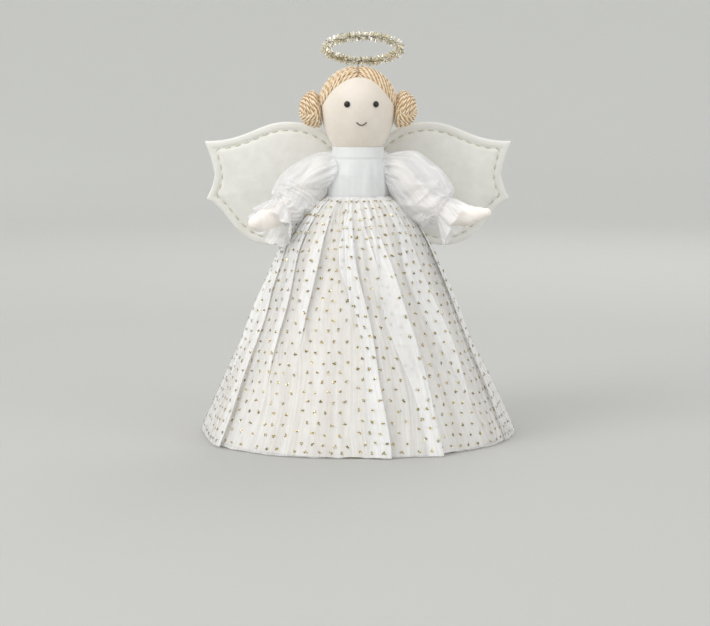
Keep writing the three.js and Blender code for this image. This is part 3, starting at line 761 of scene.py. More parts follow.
def tulle_point(turn, height, v, line):
    """The point over the lining, with fine gathers at the waist and soft ridges further down."""
    ring = Vector((math.cos(turn), math.sin(turn), 0))
    fade = 0.26 + 0.2 * grain(ring * 3.1, 1.0, 21)
    uneven = 3.0 * math.sin(5 * turn + 1) + 2.2 * math.sin(9 * turn + 2.4)
    gathers = (0.5 + 0.5 * math.cos(TULLE_GATHERS * turn + uneven)) ** 0.7
    gathers *= 1 + grain(ring * 7.0, 1.0, 22)
    gathers *= GATHER_HEIGHT * (1 - smoothstep(0.02, fade + 0.12, v)) * smoothstep(0, 0.03, v)
    ridges = 1 - abs(grain(ring * 7.5 + Vector((0, 0, 0.8 * v)), 1.0, 5)) ** 0.8
    ridges *= RIDGE_HEIGHT * smoothstep(0.02, 0.25, v) * lerp(1, 0.5, smoothstep(0.35, 0.9, v))
    broad = grain(ring * 3.4 + Vector((0, 0, 1.2 * v)), 1.0, 6) * BROAD_HEIGHT * smoothstep(0.1, 0.6, v)
    broad += HEM_FLARE * smoothstep(0.45, 1, v) + side_swing(turn, v)
    swell = LEFT_SWELL * math.exp(-((math.remainder(turn + 1.45, 2 * math.pi) / 0.7) ** 2))
    swell *= math.sin(math.pi * v) ** 1.5
    lift = TULLE_CLEARANCE + 0.6 * MM * smoothstep(0, 0.3, v) + height + gathers + ridges + broad + swell
    lift = max(lining_lift(turn, v) + LEAST_AIR, lift)
    lift = lerp(WAIST_TUCK, lift, smoothstep(-0.012, 0.02, v))
    rise = abs(HEM_RISE * grain(ring * 5.0, 1.0, 7)) * smoothstep(0.85, 1, v)
    heading = WAIST_HEADING + 0.5 * MM * grain(ring * 12.0, 1.0, 8)
    rise += heading * (1 - smoothstep(0, 0.02, v))
    return around_axis(line.x + LINING_WALL + lift, turn, line.y + rise)


def make_tulle():
    along = 100
    rings = [tulle_row(i / along) for i in range(along + 1)]
    width = 2 * math.pi * HEM.x * TULLE_FULLNESS
    piece = shell_piece("skirt_tulle", rings, SKIRT_TULLE, width, SKIRT_LENGTH)
    piece.data.flip_normals()
    dress(piece, "doll", "tulle", "overskirt")


make_tulle()


# %% [markdown]
# ## Glitter dots on the tulle
#
# The dots are small blots of glue with metal flakes, set in staggered rows on each panel between
# two pleats. Geometry Nodes put a flat flake on each point, turn it a little at random, and give
# it a tint. The flakes catch the light one by one, which a painted dot would not do.


# %% Helpers for Geometry Nodes
def new_tree(name, inputs):
    tree = bpy.data.node_groups.new(name, "GeometryNodeTree")
    tree.interface.new_socket("Geometry", in_out="INPUT", socket_type="NodeSocketGeometry")
    for label, kind in inputs:
        tree.interface.new_socket(label, in_out="INPUT", socket_type=kind)
    tree.interface.new_socket("Geometry", in_out="OUTPUT", socket_type="NodeSocketGeometry")
    start = tree.nodes.new("NodeGroupInput")
    end = tree.nodes.new("NodeGroupOutput")
    return tree, start, end


def tree_node(tree, kind, inputs=None, **settings):
    node = tree.nodes.new(kind)
    for key, value in settings.items():
        setattr(node, key, value)
    for key, value in (inputs or {}).items():
        node.inputs[key].default_value = value
    return node


def tie(tree, source, output, target, socket):
    """Joins an output of one node to an input of another, each by its name or number."""
    tree.links.new(source.outputs[output], target.inputs[socket])


def close_tree(tree, instances, end, start):
    """Real geometry with a finish: what leaves every tree here."""
    real = tree_node(tree, "GeometryNodeRealizeInstances")
    paint = tree_node(tree, "GeometryNodeSetMaterial")
    tree.links.new(instances, real.inputs["Geometry"])
    tie(tree, real, "Geometry", paint, "Geometry")
    tie(tree, start, "Finish", paint, "Material")
    tie(tree, paint, "Geometry", end, "Geometry")


def grown(name, carrier, tree, values):
    """Runs a tree on a carrier object and keeps the result as a plain mesh piece."""
    modifier = carrier.modifiers.new("grow", "NODES")
    modifier.node_group = tree
    for item in tree.interface.items_tree:
        if item.in_out == "INPUT" and item.name in values:
            modifier[item.identifier] = values[item.name]
    bpy.context.view_layer.update()
    graph = bpy.context.evaluated_depsgraph_get()
    mesh = bpy.data.meshes.new_from_object(carrier.evaluated_get(graph), depsgraph=graph)
    mesh.name = name
    piece = bpy.data.objects.new(name, mesh)
    bpy.context.collection.objects.link(piece)
    bpy.data.objects.remove(carrier)
    print(name, "has", len(mesh.polygons), "faces")
    return piece


def point_cloud(name, places):
    """Loose points that carry a direction each, for a tree to set things on."""
    mesh = bpy.data.meshes.new(name)
    mesh.from_pydata([tuple(place) for place, _ in places], [], [])
    facing = mesh.attributes.new("facing", "FLOAT_VECTOR", "POINT")
    facing.data.foreach_set("vector", [c for _, direction in places for c in direction])
    carrier = bpy.data.objects.new(name, mesh)
    bpy.context.collection.objects.link(carrier)
    return carrier


def scattered(tree, start, end, shape, spin, sizes, seeds):
    """Sets a shape on each point along the point's direction, with a turn, size and tint of its own."""
    facing = tree_node(tree, "GeometryNodeInputNamedAttribute", {"Name": "facing"}, data_type="FLOAT_VECTOR")
    aim = tree_node(tree, "FunctionNodeAlignRotationToVector", axis="Z")
    turned = tree_node(tree, "FunctionNodeRotateRotation", rotation_space="LOCAL")
    spread = {"Min": sizes[0], "Max": sizes[1], "Seed": seeds[0]}
    size = tree_node(tree, "FunctionNodeRandomValue", spread, data_type="FLOAT_VECTOR")
    setter = tree_node(tree, "GeometryNodeInstanceOnPoints")
    pick = tree_node(tree, "FunctionNodeRandomValue", {"Seed": seeds[1]}, data_type="FLOAT")
    tint = tree_node(
        tree, "GeometryNodeStoreNamedAttribute", {"Name": "tint"}, data_type="FLOAT", domain="INSTANCE"
    )
    tie(tree, facing, "Attribute", aim, "Vector")
    tie(tree, aim, "Rotation", turned, "Rotation")
    tie(tree, spin, "Value", turned, "Rotate By")
    tie(tree, start, "Geometry", setter, "Points")
    tree.links.new(shape, setter.inputs["Instance"])
    tie(tree, turned, "Rotation", setter, "Rotation")
    tie(tree, size, "Value", setter, "Scale")
    tie(tree, setter, "Instances", tint, "Geometry")
    tie(tree, pick, 1, tint, "Value")
    close_tree(tree, tint.outputs["Geometry"], end, start)
    return tree


def flake_tree():
    """Sets one small six-sided flake on each point, facing outwards with a random tilt."""
    tree, start, end = new_tree(
        "glitter_flakes",
        [("Flake size", "NodeSocketFloat"), ("Tilt", "NodeSocketFloat"), ("Finish", "NodeSocketMaterial")],
    )
    flake = tree_node(tree, "GeometryNodeMeshCircle", {"Vertices": 6}, fill_type="TRIANGLE_FAN")
    tie(tree, start, "Flake size", flake, "Radius")
    tilt = tree_node(tree, "FunctionNodeRandomValue", {"Seed": 3}, data_type="FLOAT_VECTOR")
    low = tree_node(tree, "ShaderNodeMath", {1: -1.0}, operation="MULTIPLY")
    tie(tree, start, "Tilt", low, 0)
    tie(tree, low, 0, tilt, "Min")
    tie(tree, start, "Tilt", tilt, "Max")
    return scattered(tree, start, end, flake.outputs["Mesh"], tilt, ((0.6, 0.45, 1), (1.2, 1.0, 1)), (5, 11))


# %% Dots in staggered rows over the tulle
DOT_ROW_SPACING = 8.6 * MM
DOT_SPACING_AT_WAIST = 7.0 * MM
DOT_SPACING_AT_HEM = 10.4 * MM
DOT_RADIUS = 1.28 * MM
ROW_SWAY = 3.0 * MM
PANEL_SHIFT = 4 * MM
FLAKES_PER_DOT = 8


def dot_places():
    """Flakes of every dot: staggered rows on each open panel, which hangs a little higher or lower."""
    picker = random.Random(41)
    shifts = [picker.uniform(-PANEL_SHIFT, PANEL_SHIFT) for _ in PLEATS]
    rows = int(SKIRT_LENGTH / DOT_ROW_SPACING)
    places = []
    for row in range(rows):
        v = (row + 0.5) / rows
        ring = tulle_row(v)
        below = tulle_row(v + 0.004)
        spacing = lerp(DOT_SPACING_AT_WAIST, DOT_SPACING_AT_HEM, smoothstep(0, 0.45, v))
        for panel, shift in enumerate(shifts):
            first = panel * (PANEL_STEPS + FOLD_STEPS)
            width = sum((ring[first + k + 1] - ring[first + k]).length for k in range(PANEL_STEPS))
            columns = max(1, round(width / spacing))
            for column in range(columns):
                stagger = 0.25 if row % 2 else 0.75
                reach = (column + stagger + picker.uniform(-0.1, 0.1)) / columns * PANEL_STEPS
                k = first + int(reach)
                place = ring[k].lerp(ring[k + 1], reach % 1)
                across = (ring[k + 1] - ring[k]).normalized()
                down = (below[k] - ring[k]).normalized()
                sway = shift + ROW_SWAY * grain(place, 45 * MM, 31) + picker.uniform(-0.8, 0.8) * MM
                middle = place + down * sway * smoothstep(0, 0.06, min(v, 1 - v))
                places += dot_flakes(middle, across, down, picker)
    return places


def dot_flakes(middle, across, down, picker):
    facing = across.cross(-down).normalized()
    if facing.dot(Vector((middle.x, middle.y, 0))) < 0:
        facing = -facing
    flakes = []
    for _ in range(FLAKES_PER_DOT):
        reach = DOT_RADIUS * picker.random() ** 0.6
        turn = picker.uniform(0, 2 * math.pi)
        offset = across * reach * math.cos(turn) + down * reach * math.sin(turn)
        flakes.append((middle + offset + facing * picker.uniform(0.25, 0.5) * MM, facing))
    return flakes


FLAKES = flake_tree()
dots = grown(
    "skirt_dots",
    point_cloud("dot_points", dot_places()),
    FLAKES,
    {"Flake size": 0.68 * MM, "Tilt": 0.4, "Finish": DOT_GLITTER},
)
dress(dots, "doll", "tulle")

# %% [markdown]
# ## Head and face
#
# The head is a cotton bag filled tight, a ball above and an egg below where it is drawn in at
# the neck. The eyes are round knots of dark thread and the mouth is one thin sewn arc. They sit
# where the solids put them.

# %% Head
head_low, head_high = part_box("head_cover")
HEAD_RADIUS = head_high.x
HEAD_CENTRE = head_high.z - HEAD_RADIUS
NECK_DRAWN_IN = 2.2 * MM
HEAD_DROP = HEAD_CENTRE - head_low.z + NECK_DRAWN_IN
NECK_RADIUS = 20.0 * MM
CHEEK_FULLNESS = 0.86
NECK_PUCKERS = 26
HEAD_PUCKER = 0.25 * MM
HEAD_LUMP = 0.25 * MM


def head_ring(tilt, offset=0.0):
    """Radius and height on the head at an angle above (or below) its middle."""
    if tilt >= 0:
        reach = HEAD_RADIUS + offset
        return reach * math.cos(tilt), HEAD_CENTRE + reach * math.sin(tilt)
    share = (1 + math.sin(tilt)) ** CHEEK_FULLNESS
    radius = NECK_RADIUS + (HEAD_RADIUS - NECK_RADIUS) * math.sin(0.5 * math.pi * share)
    return radius + offset, HEAD_CENTRE + HEAD_DROP * math.sin(tilt)


def make_head():
    around, along = 112, 72
    rings = []
    for i in range(along):
        tilt = lerp(-math.pi / 2, math.pi / 2, i / along)
        radius, height = head_ring(tilt)
        ring = []
        for turn in turns_round(around):
            place = around_axis(radius, turn, height)
            pucker = HEAD_PUCKER * math.cos(NECK_PUCKERS * turn) * (1 - smoothstep(-1.55, -1.2, tilt))
            lump = HEAD_LUMP * grain(place, 16 * MM, 4)
            ring.append(place + Vector((place.x, place.y, 0)).normalized() * (pucker + lump))
        rings.append(ring)
    piece = shell_piece("head_cotton", rings, SKIN_COTTON, 2 * math.pi * HEAD_RADIUS, 0.1, cap_end=True)
    dress(piece, "doll", "skin_cloth", "head_cover", "head_filling")


make_head()


# %% Eyes and smile
EYE_RADIUS = 2.65 * MM
EYE_DOME = 1.5 * MM
EYE_PROUD = 0.25 * MM
EYE_ROWS = 9
SMILE_RADIUS = 0.44 * MM
SMILE_LAY = 1.6 * MM
SMILE_STEP = 0.25 * MM


def make_eye(side_name):
    low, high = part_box(side_name + "_eye")
    middle = (Vector(low) + Vector(high)) / 2
    outward = (middle - Vector((0, 0, HEAD_CENTRE))).normalized()
    seat = Vector((0, 0, HEAD_CENTRE)) + outward * (HEAD_RADIUS + EYE_PROUD)
    turn = outward.to_track_quat("Z", "Y").to_matrix()
    rings = []
    for step in range(EYE_ROWS):
        tilt = step / EYE_ROWS * math.pi / 2
        ring = []
        for angle in turns_round(40):
            ridge = 1 + 0.02 * math.cos(20 * angle)
            local = Vector((math.cos(angle), math.sin(angle), 0)) * EYE_RADIUS * math.cos(tilt) * ridge
            ring.append(seat + turn @ (local + Vector((0, 0, EYE_DOME * math.sin(tilt)))))
        rings.append(ring)
    piece = shell_piece(side_name + "_eye_knot", rings, EYE_THREAD, 0.016, 0.004, True, True)
    dress(piece, "doll", "dark_thread", side_name + "_eye")


def make_smile():
    low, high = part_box("mouth_stitch")
    middle = (Vector(low) + Vector(high)) / 2
    yaw = math.atan2(middle.x, -middle.y)
    half = (high.x - low.x) / 2 - 0.4 * MM
    sag = high.z - low.z - 0.9 * MM
    points = []
    for step in range(17):
        share = step / 8 - 1
        height = low.z + 0.45 * MM + sag * share * share
        radius = head_ring(math.asin((height - HEAD_CENTRE) / HEAD_DROP))[0] + 0.5 * MM
        turn = yaw + half * share / radius
        points.append(around_axis(radius, turn, height))
    rings = rope_rings(even_path(points, SMILE_STEP), SMILE_RADIUS, 2, SMILE_LAY, 12)
    piece = joined_ropes("smile_thread", [rings], MOUTH_THREAD, SMILE_STEP, SMILE_LAY)
    dress(piece, "doll", "dark_thread", "mouth_stitch")


for side_name in SIDES:
    make_eye(side_name)
make_smile()

# %% [markdown]
# ## Hair
#
# Thick yarn, three plies twisted together, is laid from a centre parting over the head and down
# to each side, then wound into a bun over the ear. Every strand is a tube whose section has three
# lobes and turns as it goes along, which gives the slanting ridges of twisted yarn. The strands
# leave the parting square to it and all run to the bun, like lines of longitude to a pole. A bun
# is one rope wound into a dome, with a second one wound under it that closes the gaps, and a few
# turns of rope slantwise over both.

# %% Strands from the parting to the buns
STRANDS_PER_SIDE = 21
STRAND_RADIUS = 2.05 * MM
STRAND_SINK = 2.2 * MM
LAYER_DROP = 2.0 * MM
STRAND_LAY = 14 * MM
STRAND_SPACING = 0.8 * MM
STRAND_SIDES = 18
STRAND_GROOVE = 0.42
STRAND_STEPS = 32
PARTING_DIP = 0.9 * MM
PARTING_REACH = math.radians(1.5)
HAIRLINE_TILT = math.radians(52)
NAPE_TILT = math.radians(207)
TEMPLE_SWEEP = math.radians(-47)
NAPE_SWEEP = math.radians(14)
BUN_REACH = math.radians(76)
bun_low, bun_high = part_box("right_bun")
BUN_HEIGHT = (bun_low.z + bun_high.z) / 2 - 2.6 * MM
BUN_BACK = 1.0 * MM


def on_head(direction, offset):
    """The point over the head's skin that lies in a direction from the head's middle."""
    tilt = math.asin(max(-1, min(1, direction.z)))
    radius, height = head_ring(tilt, offset)
    turn = math.atan2(direction.x, -direction.y)
    return around_axis(radius, turn, height)


def strand_path(side, share, drop, picker):
    """From a place along the parting (0 at the forehead, 1 at the nape) to under the bun."""
    start = lerp(HAIRLINE_TILT, NAPE_TILT, share)
    end = start + lerp(TEMPLE_SWEEP, NAPE_SWEEP, smoothstep(0, 0.9, share))
    raised = picker.uniform(-0.3, 0.3) * MM
    sway = picker.uniform(-0.025, 0.025)
    points = []
    for step in range(STRAND_STEPS + 1):
        along = step / STRAND_STEPS
        reach = lerp(PARTING_REACH, BUN_REACH, along)
        tilt = lerp(start, end, along * along) + sway * math.sin(2 * math.pi * along)
        inward = math.cos(reach)
        direction = Vector((side * math.sin(reach), -inward * math.cos(tilt), inward * math.sin(tilt)))
        dip = PARTING_DIP * (1 - smoothstep(0, 0.12, along)) * smoothstep(0, 0.2, share)
        points.append(on_head(direction, STRAND_RADIUS - STRAND_SINK + raised - dip - drop))
    return even_path(points, STRAND_SPACING)


def yarn_rope(path, radius, side, number):
    return rope_rings(path, radius, YARN_PLIES, side * STRAND_LAY, STRAND_SIDES, STRAND_GROOVE, number)


def make_hair(side_name, side):
    """Two layers: the lower one closes the gaps between the strands that are seen."""
    picker = random.Random(5 + side)
    strands = []
    for k in range(STRANDS_PER_SIDE):
        share = k / (STRANDS_PER_SIDE - 1)
        for layer in range(2):
            path = strand_path(side, share + 0.5 * layer / STRANDS_PER_SIDE, LAYER_DROP * layer, picker)
            radius = STRAND_RADIUS * picker.uniform(0.92, 1.08) * (1 + 0.35 * layer)
            strands.append(yarn_rope(path, radius, side, len(strands)))
    piece = joined_ropes(side_name + "_hair_strands", strands, HAIR_YARN, STRAND_SPACING, side * STRAND_LAY)
    dress(piece, "doll", "yarn", side_name + "_hair")


# %% Buns
BUN_ROPE_RADIUS = 1.95 * MM
BUN_PITCH = 3.4 * MM
BUN_RADIUS = 13.2 * MM
BUN_DEPTH = 12.0 * MM
BUN_INNER_DEPTH = 2.8 * MM
BUN_SEAT = 36.0 * MM
BUN_TUCK = math.radians(-40)
BUN_UNDERLAYER = 2.2 * MM
BUN_LEAN = math.radians(9)
WRAP_AXIS = Vector((0.35, -0.5, 0.8)).normalized()
WRAPS = (74, 84, 94, 104)
WRAP_HEIGHT = 1.1 * MM
WRAP_STEPS = 72
PARTING_STITCHES = 22
PARTING_STITCH = math.radians(6.5)
PARTING_RADIUS = 0.42 * MM
PARTING_LAY = 2.2 * MM
PARTING_STEP = 0.4 * MM


def on_bun(side, direction, offset):
    """A point on the bun's dome, which is flattened towards the head."""
    local = Vector(
        (
            direction.x * ((BUN_DEPTH if direction.x > 0 else BUN_INNER_DEPTH) + offset),
            direction.y * (BUN_RADIUS + offset),
            direction.z * (BUN_RADIUS + 1.2 * MM + offset),
        )
    )
    local = Matrix.Rotation(BUN_LEAN, 3, "Y") @ local
    return Vector((side * (BUN_SEAT + local.x), local.y + BUN_BACK, local.z + BUN_HEIGHT))


def coil_path(side, depth, first_angle):
    """One rope wound from the head outwards, ring above ring, to the middle of the dome or under it."""
    length = (math.pi / 2 - BUN_TUCK) * (BUN_RADIUS + BUN_DEPTH) / 2
    turns = length / BUN_PITCH
    steps = round(turns * 40)
    points = []
    for i in range(steps + 1):
        share = i / steps
        climb = lerp(BUN_TUCK, math.radians(84), share)
        angle = first_angle + 2 * math.pi * turns * share
        wobble = 0.45 * MM * grain((3 * share, math.cos(angle), math.sin(angle)), 0.5, 6)
        ring = math.cos(climb)
        direction = Vector((math.sin(climb), ring * math.cos(angle), ring * math.sin(angle)))
        points.append(on_bun(side, direction, wobble - depth))
    return even_path(points, STRAND_SPACING)


def wrap_path(side, degrees):
    """One turn of rope slantwise over the coil; its lower half passes behind, between bun and head."""
    reach = math.radians(degrees)
    across = WRAP_AXIS.orthogonal().normalized()
    up = WRAP_AXIS.cross(across)
    points = []
    for step in range(WRAP_STEPS + 1):
        turn = 2 * math.pi * step / WRAP_STEPS
        spoke = across * math.cos(turn) + up * math.sin(turn)
        direction = WRAP_AXIS * math.cos(reach) + spoke * math.sin(reach)
        points.append(on_bun(side, direction, WRAP_HEIGHT))
    return even_path(points, STRAND_SPACING)


def make_bun(side_name, side):
    paths = [coil_path(side, 0.0, 0.0), coil_path(side, BUN_UNDERLAYER, math.pi)]
    paths += [wrap_path(side, degrees) for degrees in WRAPS]
    ropes = [yarn_rope(path, BUN_ROPE_RADIUS, side, number) for number, path in enumerate(paths)]
    piece = joined_ropes(side_name + "_bun_rope", ropes, HAIR_YARN, STRAND_SPACING, side * STRAND_LAY)
    dress(piece, "doll", "yarn", side_name + "_bun")


def make_parting():
    """Small stitches of brown thread, one over each step of the parting."""
    stitches = []
    for k in range(PARTING_STITCHES):
        tilt = lerp(HAIRLINE_TILT, NAPE_TILT, k / (PARTING_STITCHES - 1))
        points = []
        for step in range(9):
            share = step / 8
            spot = tilt + PARTING_STITCH * (share - 0.5)
            lift = 2 * STRAND_RADIUS - STRAND_SINK - 0.5 * MM + 0.5 * MM * math.sin(math.pi * share)
            points.append(on_head(Vector((0, -math.cos(spot), math.sin(spot))), lift))
        stitches.append(rope_rings(even_path(points, PARTING_STEP), PARTING_RADIUS, 2, PARTING_LAY, 8))
    piece = joined_ropes("parting_thread_seam", stitches, PARTING_THREAD, PARTING_STEP, PARTING_LAY)
    dress(piece, "doll", "brown_thread", "parting_seam")


for side_name, side in SIDES.items():
    make_hair(side_name, side)
    make_bun(side_name, side)
make_parting()

# %% [markdown]
# ## Arms and hands
#
# Cotton tubes stuffed firmly, bent at the elbow by the wire inside. The hands are plain mittens:
# the right one narrows to a tip that turns up, the left one is blunter and points at the viewer.

# %% Arms
ELBOW_OUT = 31 * MM
ELBOW_AHEAD = 5 * MM
ELBOW_DROP = 49 * MM
FOREARM = 49 * MM
FOREARM_LIFT = 9 * MM
FOREARM_YAW = {LEFT: math.radians(64), RIGHT: math.radians(26)}
ARM_STOPS = {
    LEFT: ((0, 7.0), (0.45, 8.2), (0.66, 9.4), (0.8, 9.2), (0.92, 8.0), (1, 6.0)),
    RIGHT: ((0, 7.0), (0.45, 8.2), (0.66, 9.8), (0.82, 8.8), (0.93, 6.2), (1, 4.0)),
}
TIP_RISE = {LEFT: -4.5 * MM, RIGHT: 2.2 * MM}


def arm_handles(side):
    shoulder = Vector(joints["left_shoulder" if side == LEFT else "right_shoulder"]["pos_m"])
    elbow = shoulder + Vector((side * ELBOW_OUT, -ELBOW_AHEAD, -ELBOW_DROP))
    yaw = FOREARM_YAW[side]
    tip = elbow + Vector((side * FOREARM * math.cos(yaw), -FOREARM * math.sin(yaw), FOREARM_LIFT))
    return shoulder, shoulder.lerp(elbow, 0.6), elbow.lerp(tip, 0.4).lerp(elbow, 0.4), tip


def arm_path(side, count):
    shoulder, first, second, tip = arm_handles(side)
    fine = interpolate_bezier(shoulder, first, second, tip, 200)
    return even_path(fine, (tip - shoulder).length / count)


def arm_radius(side, share):
    stops = ARM_STOPS[side]
    for (a, low), (b, high) in zip(stops, stops[1:]):
        if share <= b:
            return lerp(low, high, smoothstep(a, b, share)) * MM
    return stops[-1][1] * MM


def round_sweep(path, radius_at, sides):
    """Round sections along a path, with a round end at its start and its tip."""
    rings = []
    last = len(path) - 1
    round_end = (0, 15, 32, 50, 68, 86)
    first_across = Vector((0, 0, 1)).cross((path[1] - path[0]).normalized()).normalized()
    for i, (place, ahead, across, up) in enumerate(path_frames(path, first_across)):
        radius = radius_at(i / last)
        spokes = [across * math.cos(a) + up * math.sin(a) for a in turns_round(sides)]
        tilts = round_end[::-1] if i == 0 else round_end if i == last else (0,)
        for tilt in tilts:
            reach = math.radians(tilt)
            centre = place + ahead * radius * math.sin(reach) * (1 if i else -1)
            rings.append([centre + spoke * radius * math.cos(reach) for spoke in spokes])
    return rings


def make_arm(side_name, side):
    path = arm_path(side, 64)
    for k, place in enumerate(path):
        place.z += TIP_RISE[side] * smoothstep(0.7, 1, k / (len(path) - 1))
    rings = round_sweep(path, lambda share: arm_radius(side, share), 48)
    for ring in rings:
        middle = sum(ring, Vector()) / len(ring)
        for k, place in enumerate(ring):
            lump = 0.35 * MM * grain(place, 9 * MM, 8)
            ring[k] = place + (place - middle).normalized() * lump
    piece = shell_piece(side_name + "_arm_cotton", rings, HAND_COTTON, 0.055, 0.13, True, True)
    dress(piece, side_name + "_arm_body", "skin_cloth", side_name + "_arm")


for side_name, side in SIDES.items():
    make_arm(side_name, side)

# %% [markdown]
# ## Sleeves
#
# Puff sleeves of sheer cloth: gathered at the armhole, blown out over the upper arm, drawn in by
# elastic at the wrist and let out again in a frill. Crumpled cloth is hard to draw and easy to
# simulate: the sleeve starts as a smooth puff with air inside, armhole and cuff are pinned, and the
# cloth then grows by a fifth, so that it has to buckle into folds. The frill keeps its cut. The
# sleeve is sewn to the bodice at one end and held by the arm at the other.

# %% Sleeves
CUFF_SHARE = 0.6
ARMHOLE_DROP = 3 * MM
ARMHOLE_HALF_HEIGHT = 15 * MM
ARMHOLE_HALF_DEPTH = {LEFT: 18.5 * MM, RIGHT: 12 * MM}
SLEEVE_PUFF = 20 * MM
SHOULDER_PUFF = {LEFT: 10 * MM, RIGHT: 22.5 * MM}
ELBOW_PUFF = {LEFT: 15 * MM, RIGHT: 22.5 * MM}
SLEEVE_UNDERSIDE = 18 * MM
UNDERSIDE_LATE = 2.0
CUFF_SLACK = 2.0 * MM
FRILL_LENGTH = 15 * MM
FRILL_RADIUS = 23.5 * MM
SLEEVE_AROUND = 120
SLEEVE_ALONG = 54
FRILL_ROWS = 16
SLEEVE_GROWTH = 0.2
SLEEVE_FRAMES = 22
SIMULATION_SCALE = 10
CLOTH_SETTINGS = {
    "quality": 7,
    "mass": 0.15,
    "tension_stiffness": 20,
    "compression_stiffness": 20,
    "shear_stiffness": 8,
    "bending_stiffness": 0.7,
    "air_damping": 2,
    "vertex_group_mass": "pinned",
    "vertex_group_shrink": "frill",
    "shrink_min": -SLEEVE_GROWTH,
    "shrink_max": 0.0,
    "use_pressure": True,
    "uniform_pressure_force": 0.7,
}


def sleeve_handles(side):
    path = arm_path(side, 200)
    cuff = round(CUFF_SHARE * (len(path) - 1))
    wrist = path[cuff]
    ahead = (path[cuff + 2] - path[cuff - 2]).normalized()
    height = arm_handles(side)[0].z - ARMHOLE_DROP
    hole = Vector((side * (bodice_radius(height) + 0.3 * MM), 0, height))
    leave = hole + Vector((side * SLEEVE_PUFF, 0, 0))
    return hole, leave, wrist - ahead * SLEEVE_PUFF, wrist, ahead


def sleeve_size(end, cuff, puff, share, late=1.0):
    """Half the sleeve's width: from its end at the armhole over the puff to the cuff."""
    swell = math.sin(math.pi * share**late) ** 0.75
    return lerp(end, cuff, share) + (puff - (end + cuff) / 2) * swell


def sleeve_rings(side):
    hole, leave, arrive, wrist, cuff_ahead = sleeve_handles(side)
    path = even_path(interpolate_bezier(hole, leave, arrive, wrist, 160), 0.4 * MM)
    cuff = arm_radius(side, CUFF_SHARE) + CUFF_SLACK
    last = len(path) - 1
    rings = []
    for i in range(SLEEVE_ALONG + FRILL_ROWS + 1):
        share = min(1, i / SLEEVE_ALONG)
        beyond = max(0, i - SLEEVE_ALONG) / FRILL_ROWS
        k = round(share * last)
        place = path[k] + cuff_ahead * FRILL_LENGTH * beyond
        ahead = (path[min(k + 3, last)] - path[max(k - 3, 0)]).normalized()
        across = Vector((0, 0, 1)).cross(ahead).normalized()
        up = ahead.cross(across)
        ring = []
        for angle in turns_round(SLEEVE_AROUND):
            over = lerp(SHOULDER_PUFF[side], ELBOW_PUFF[side], smoothstep(0.12, 0.48, share))
            puff, late = (over, 1.0) if math.cos(angle) > 0 else (SLEEVE_UNDERSIDE, UNDERSIDE_LATE)
            flare = (FRILL_RADIUS - cuff) * beyond**0.75
            fold = sleeve_gathers(side, share, beyond, angle)
            high = sleeve_size(ARMHOLE_HALF_HEIGHT, cuff, puff, share, late) + flare + fold
            deep = sleeve_size(ARMHOLE_HALF_DEPTH[side], cuff, SLEEVE_PUFF, share) + flare + fold
            point = place + up * high * math.cos(angle) + across * deep * math.sin(angle)
            hug = max(0, 1 - 4 * share)
            surface = math.sqrt(max(0, bodice_radius(point.z) ** 2 - point.y**2))
            point.x -= side * hug * (bodice_radius(hole.z) - surface)
            ring.append(point)
        rings.append(ring)
    return rings


def sleeve_gathers(side, share, beyond, angle):
    """Small gathers at both ends of the puff and deep flutes in the frill."""
    gathers = math.cos(20 * angle + 2.0 * math.sin(3 * angle + side))
    near_ends = smoothstep(0, 0.06, share) * (1 - smoothstep(0.06, 0.4, share))
    near_ends += smoothstep(0.65, 0.97, share)
    flutes = 2.3 * math.cos(9 * angle + side) + 0.9 * math.cos(16 * angle + 2)
    return (0.55 * gathers * near_ends * (1 - beyond) + flutes * beyond) * MM


def crumple(piece, pinned, frill):
    """Cloth that grows, but for its frill, while its pinned points hold, at ten times the size."""
    for vertex in piece.data.vertices:
        vertex.co *= SIMULATION_SCALE
    for group_name, points in (("pinned", pinned), ("frill", frill)):
        piece.vertex_groups.new(name=group_name).add(points, 1.0, "REPLACE")
    cloth = piece.modifiers.new("cloth", "CLOTH")
    for setting, value in CLOTH_SETTINGS.items():
        setattr(cloth.settings, setting, value)
    cloth.settings.effector_weights.gravity = 0.15
    cloth.point_cache.frame_end = SLEEVE_FRAMES
    for number in range(1, SLEEVE_FRAMES + 1):
        bpy.context.scene.frame_set(number)
    graph = bpy.context.evaluated_depsgraph_get()
    evaluated = piece.evaluated_get(graph).data
    places = [vertex.co / SIMULATION_SCALE for vertex in evaluated.vertices]
    piece.modifiers.remove(cloth)
    piece.vertex_groups.clear()
    for vertex, place in zip(piece.data.vertices, places):
        vertex.co = place
    bpy.context.scene.frame_set(1)
    piece.data.update()
    soften(piece)


def soften(piece):
    """One level of subdivision, kept as plain mesh."""
    finer = piece.modifiers.new("finer", "SUBSURF")
    finer.levels = 1
    finer.render_levels = 1
    graph = bpy.context.evaluated_depsgraph_get()
    mesh = bpy.data.meshes.new_from_object(piece.evaluated_get(graph), depsgraph=graph)
    piece.modifiers.remove(finer)
    mesh.name = piece.data.name
    piece.data = mesh


def make_sleeve(side_name, side):
    rings = sleeve_rings(side)
    piece = shell_piece(side_name + "_sleeve_tulle", rings, SLEEVE_TULLE, 0.14, 0.1)
    piece.data.flip_normals()
    armhole = range(SLEEVE_AROUND)
    first_cuff = SLEEVE_AROUND * (SLEEVE_ALONG - 1)
    cuff = range(first_cuff, first_cuff + 2 * SLEEVE_AROUND)
    frill = range(first_cuff + 2 * SLEEVE_AROUND, SLEEVE_AROUND * (SLEEVE_ALONG + FRILL_ROWS + 1))
    crumple(piece, [*armhole, *cuff], list(frill))
    hole, _, _, wrist, _ = sleeve_handles(side)
    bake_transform(piece)
    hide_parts(side_name + "_sleeve")


for side_name, side in SIDES.items():
    make_sleeve(side_name, side)

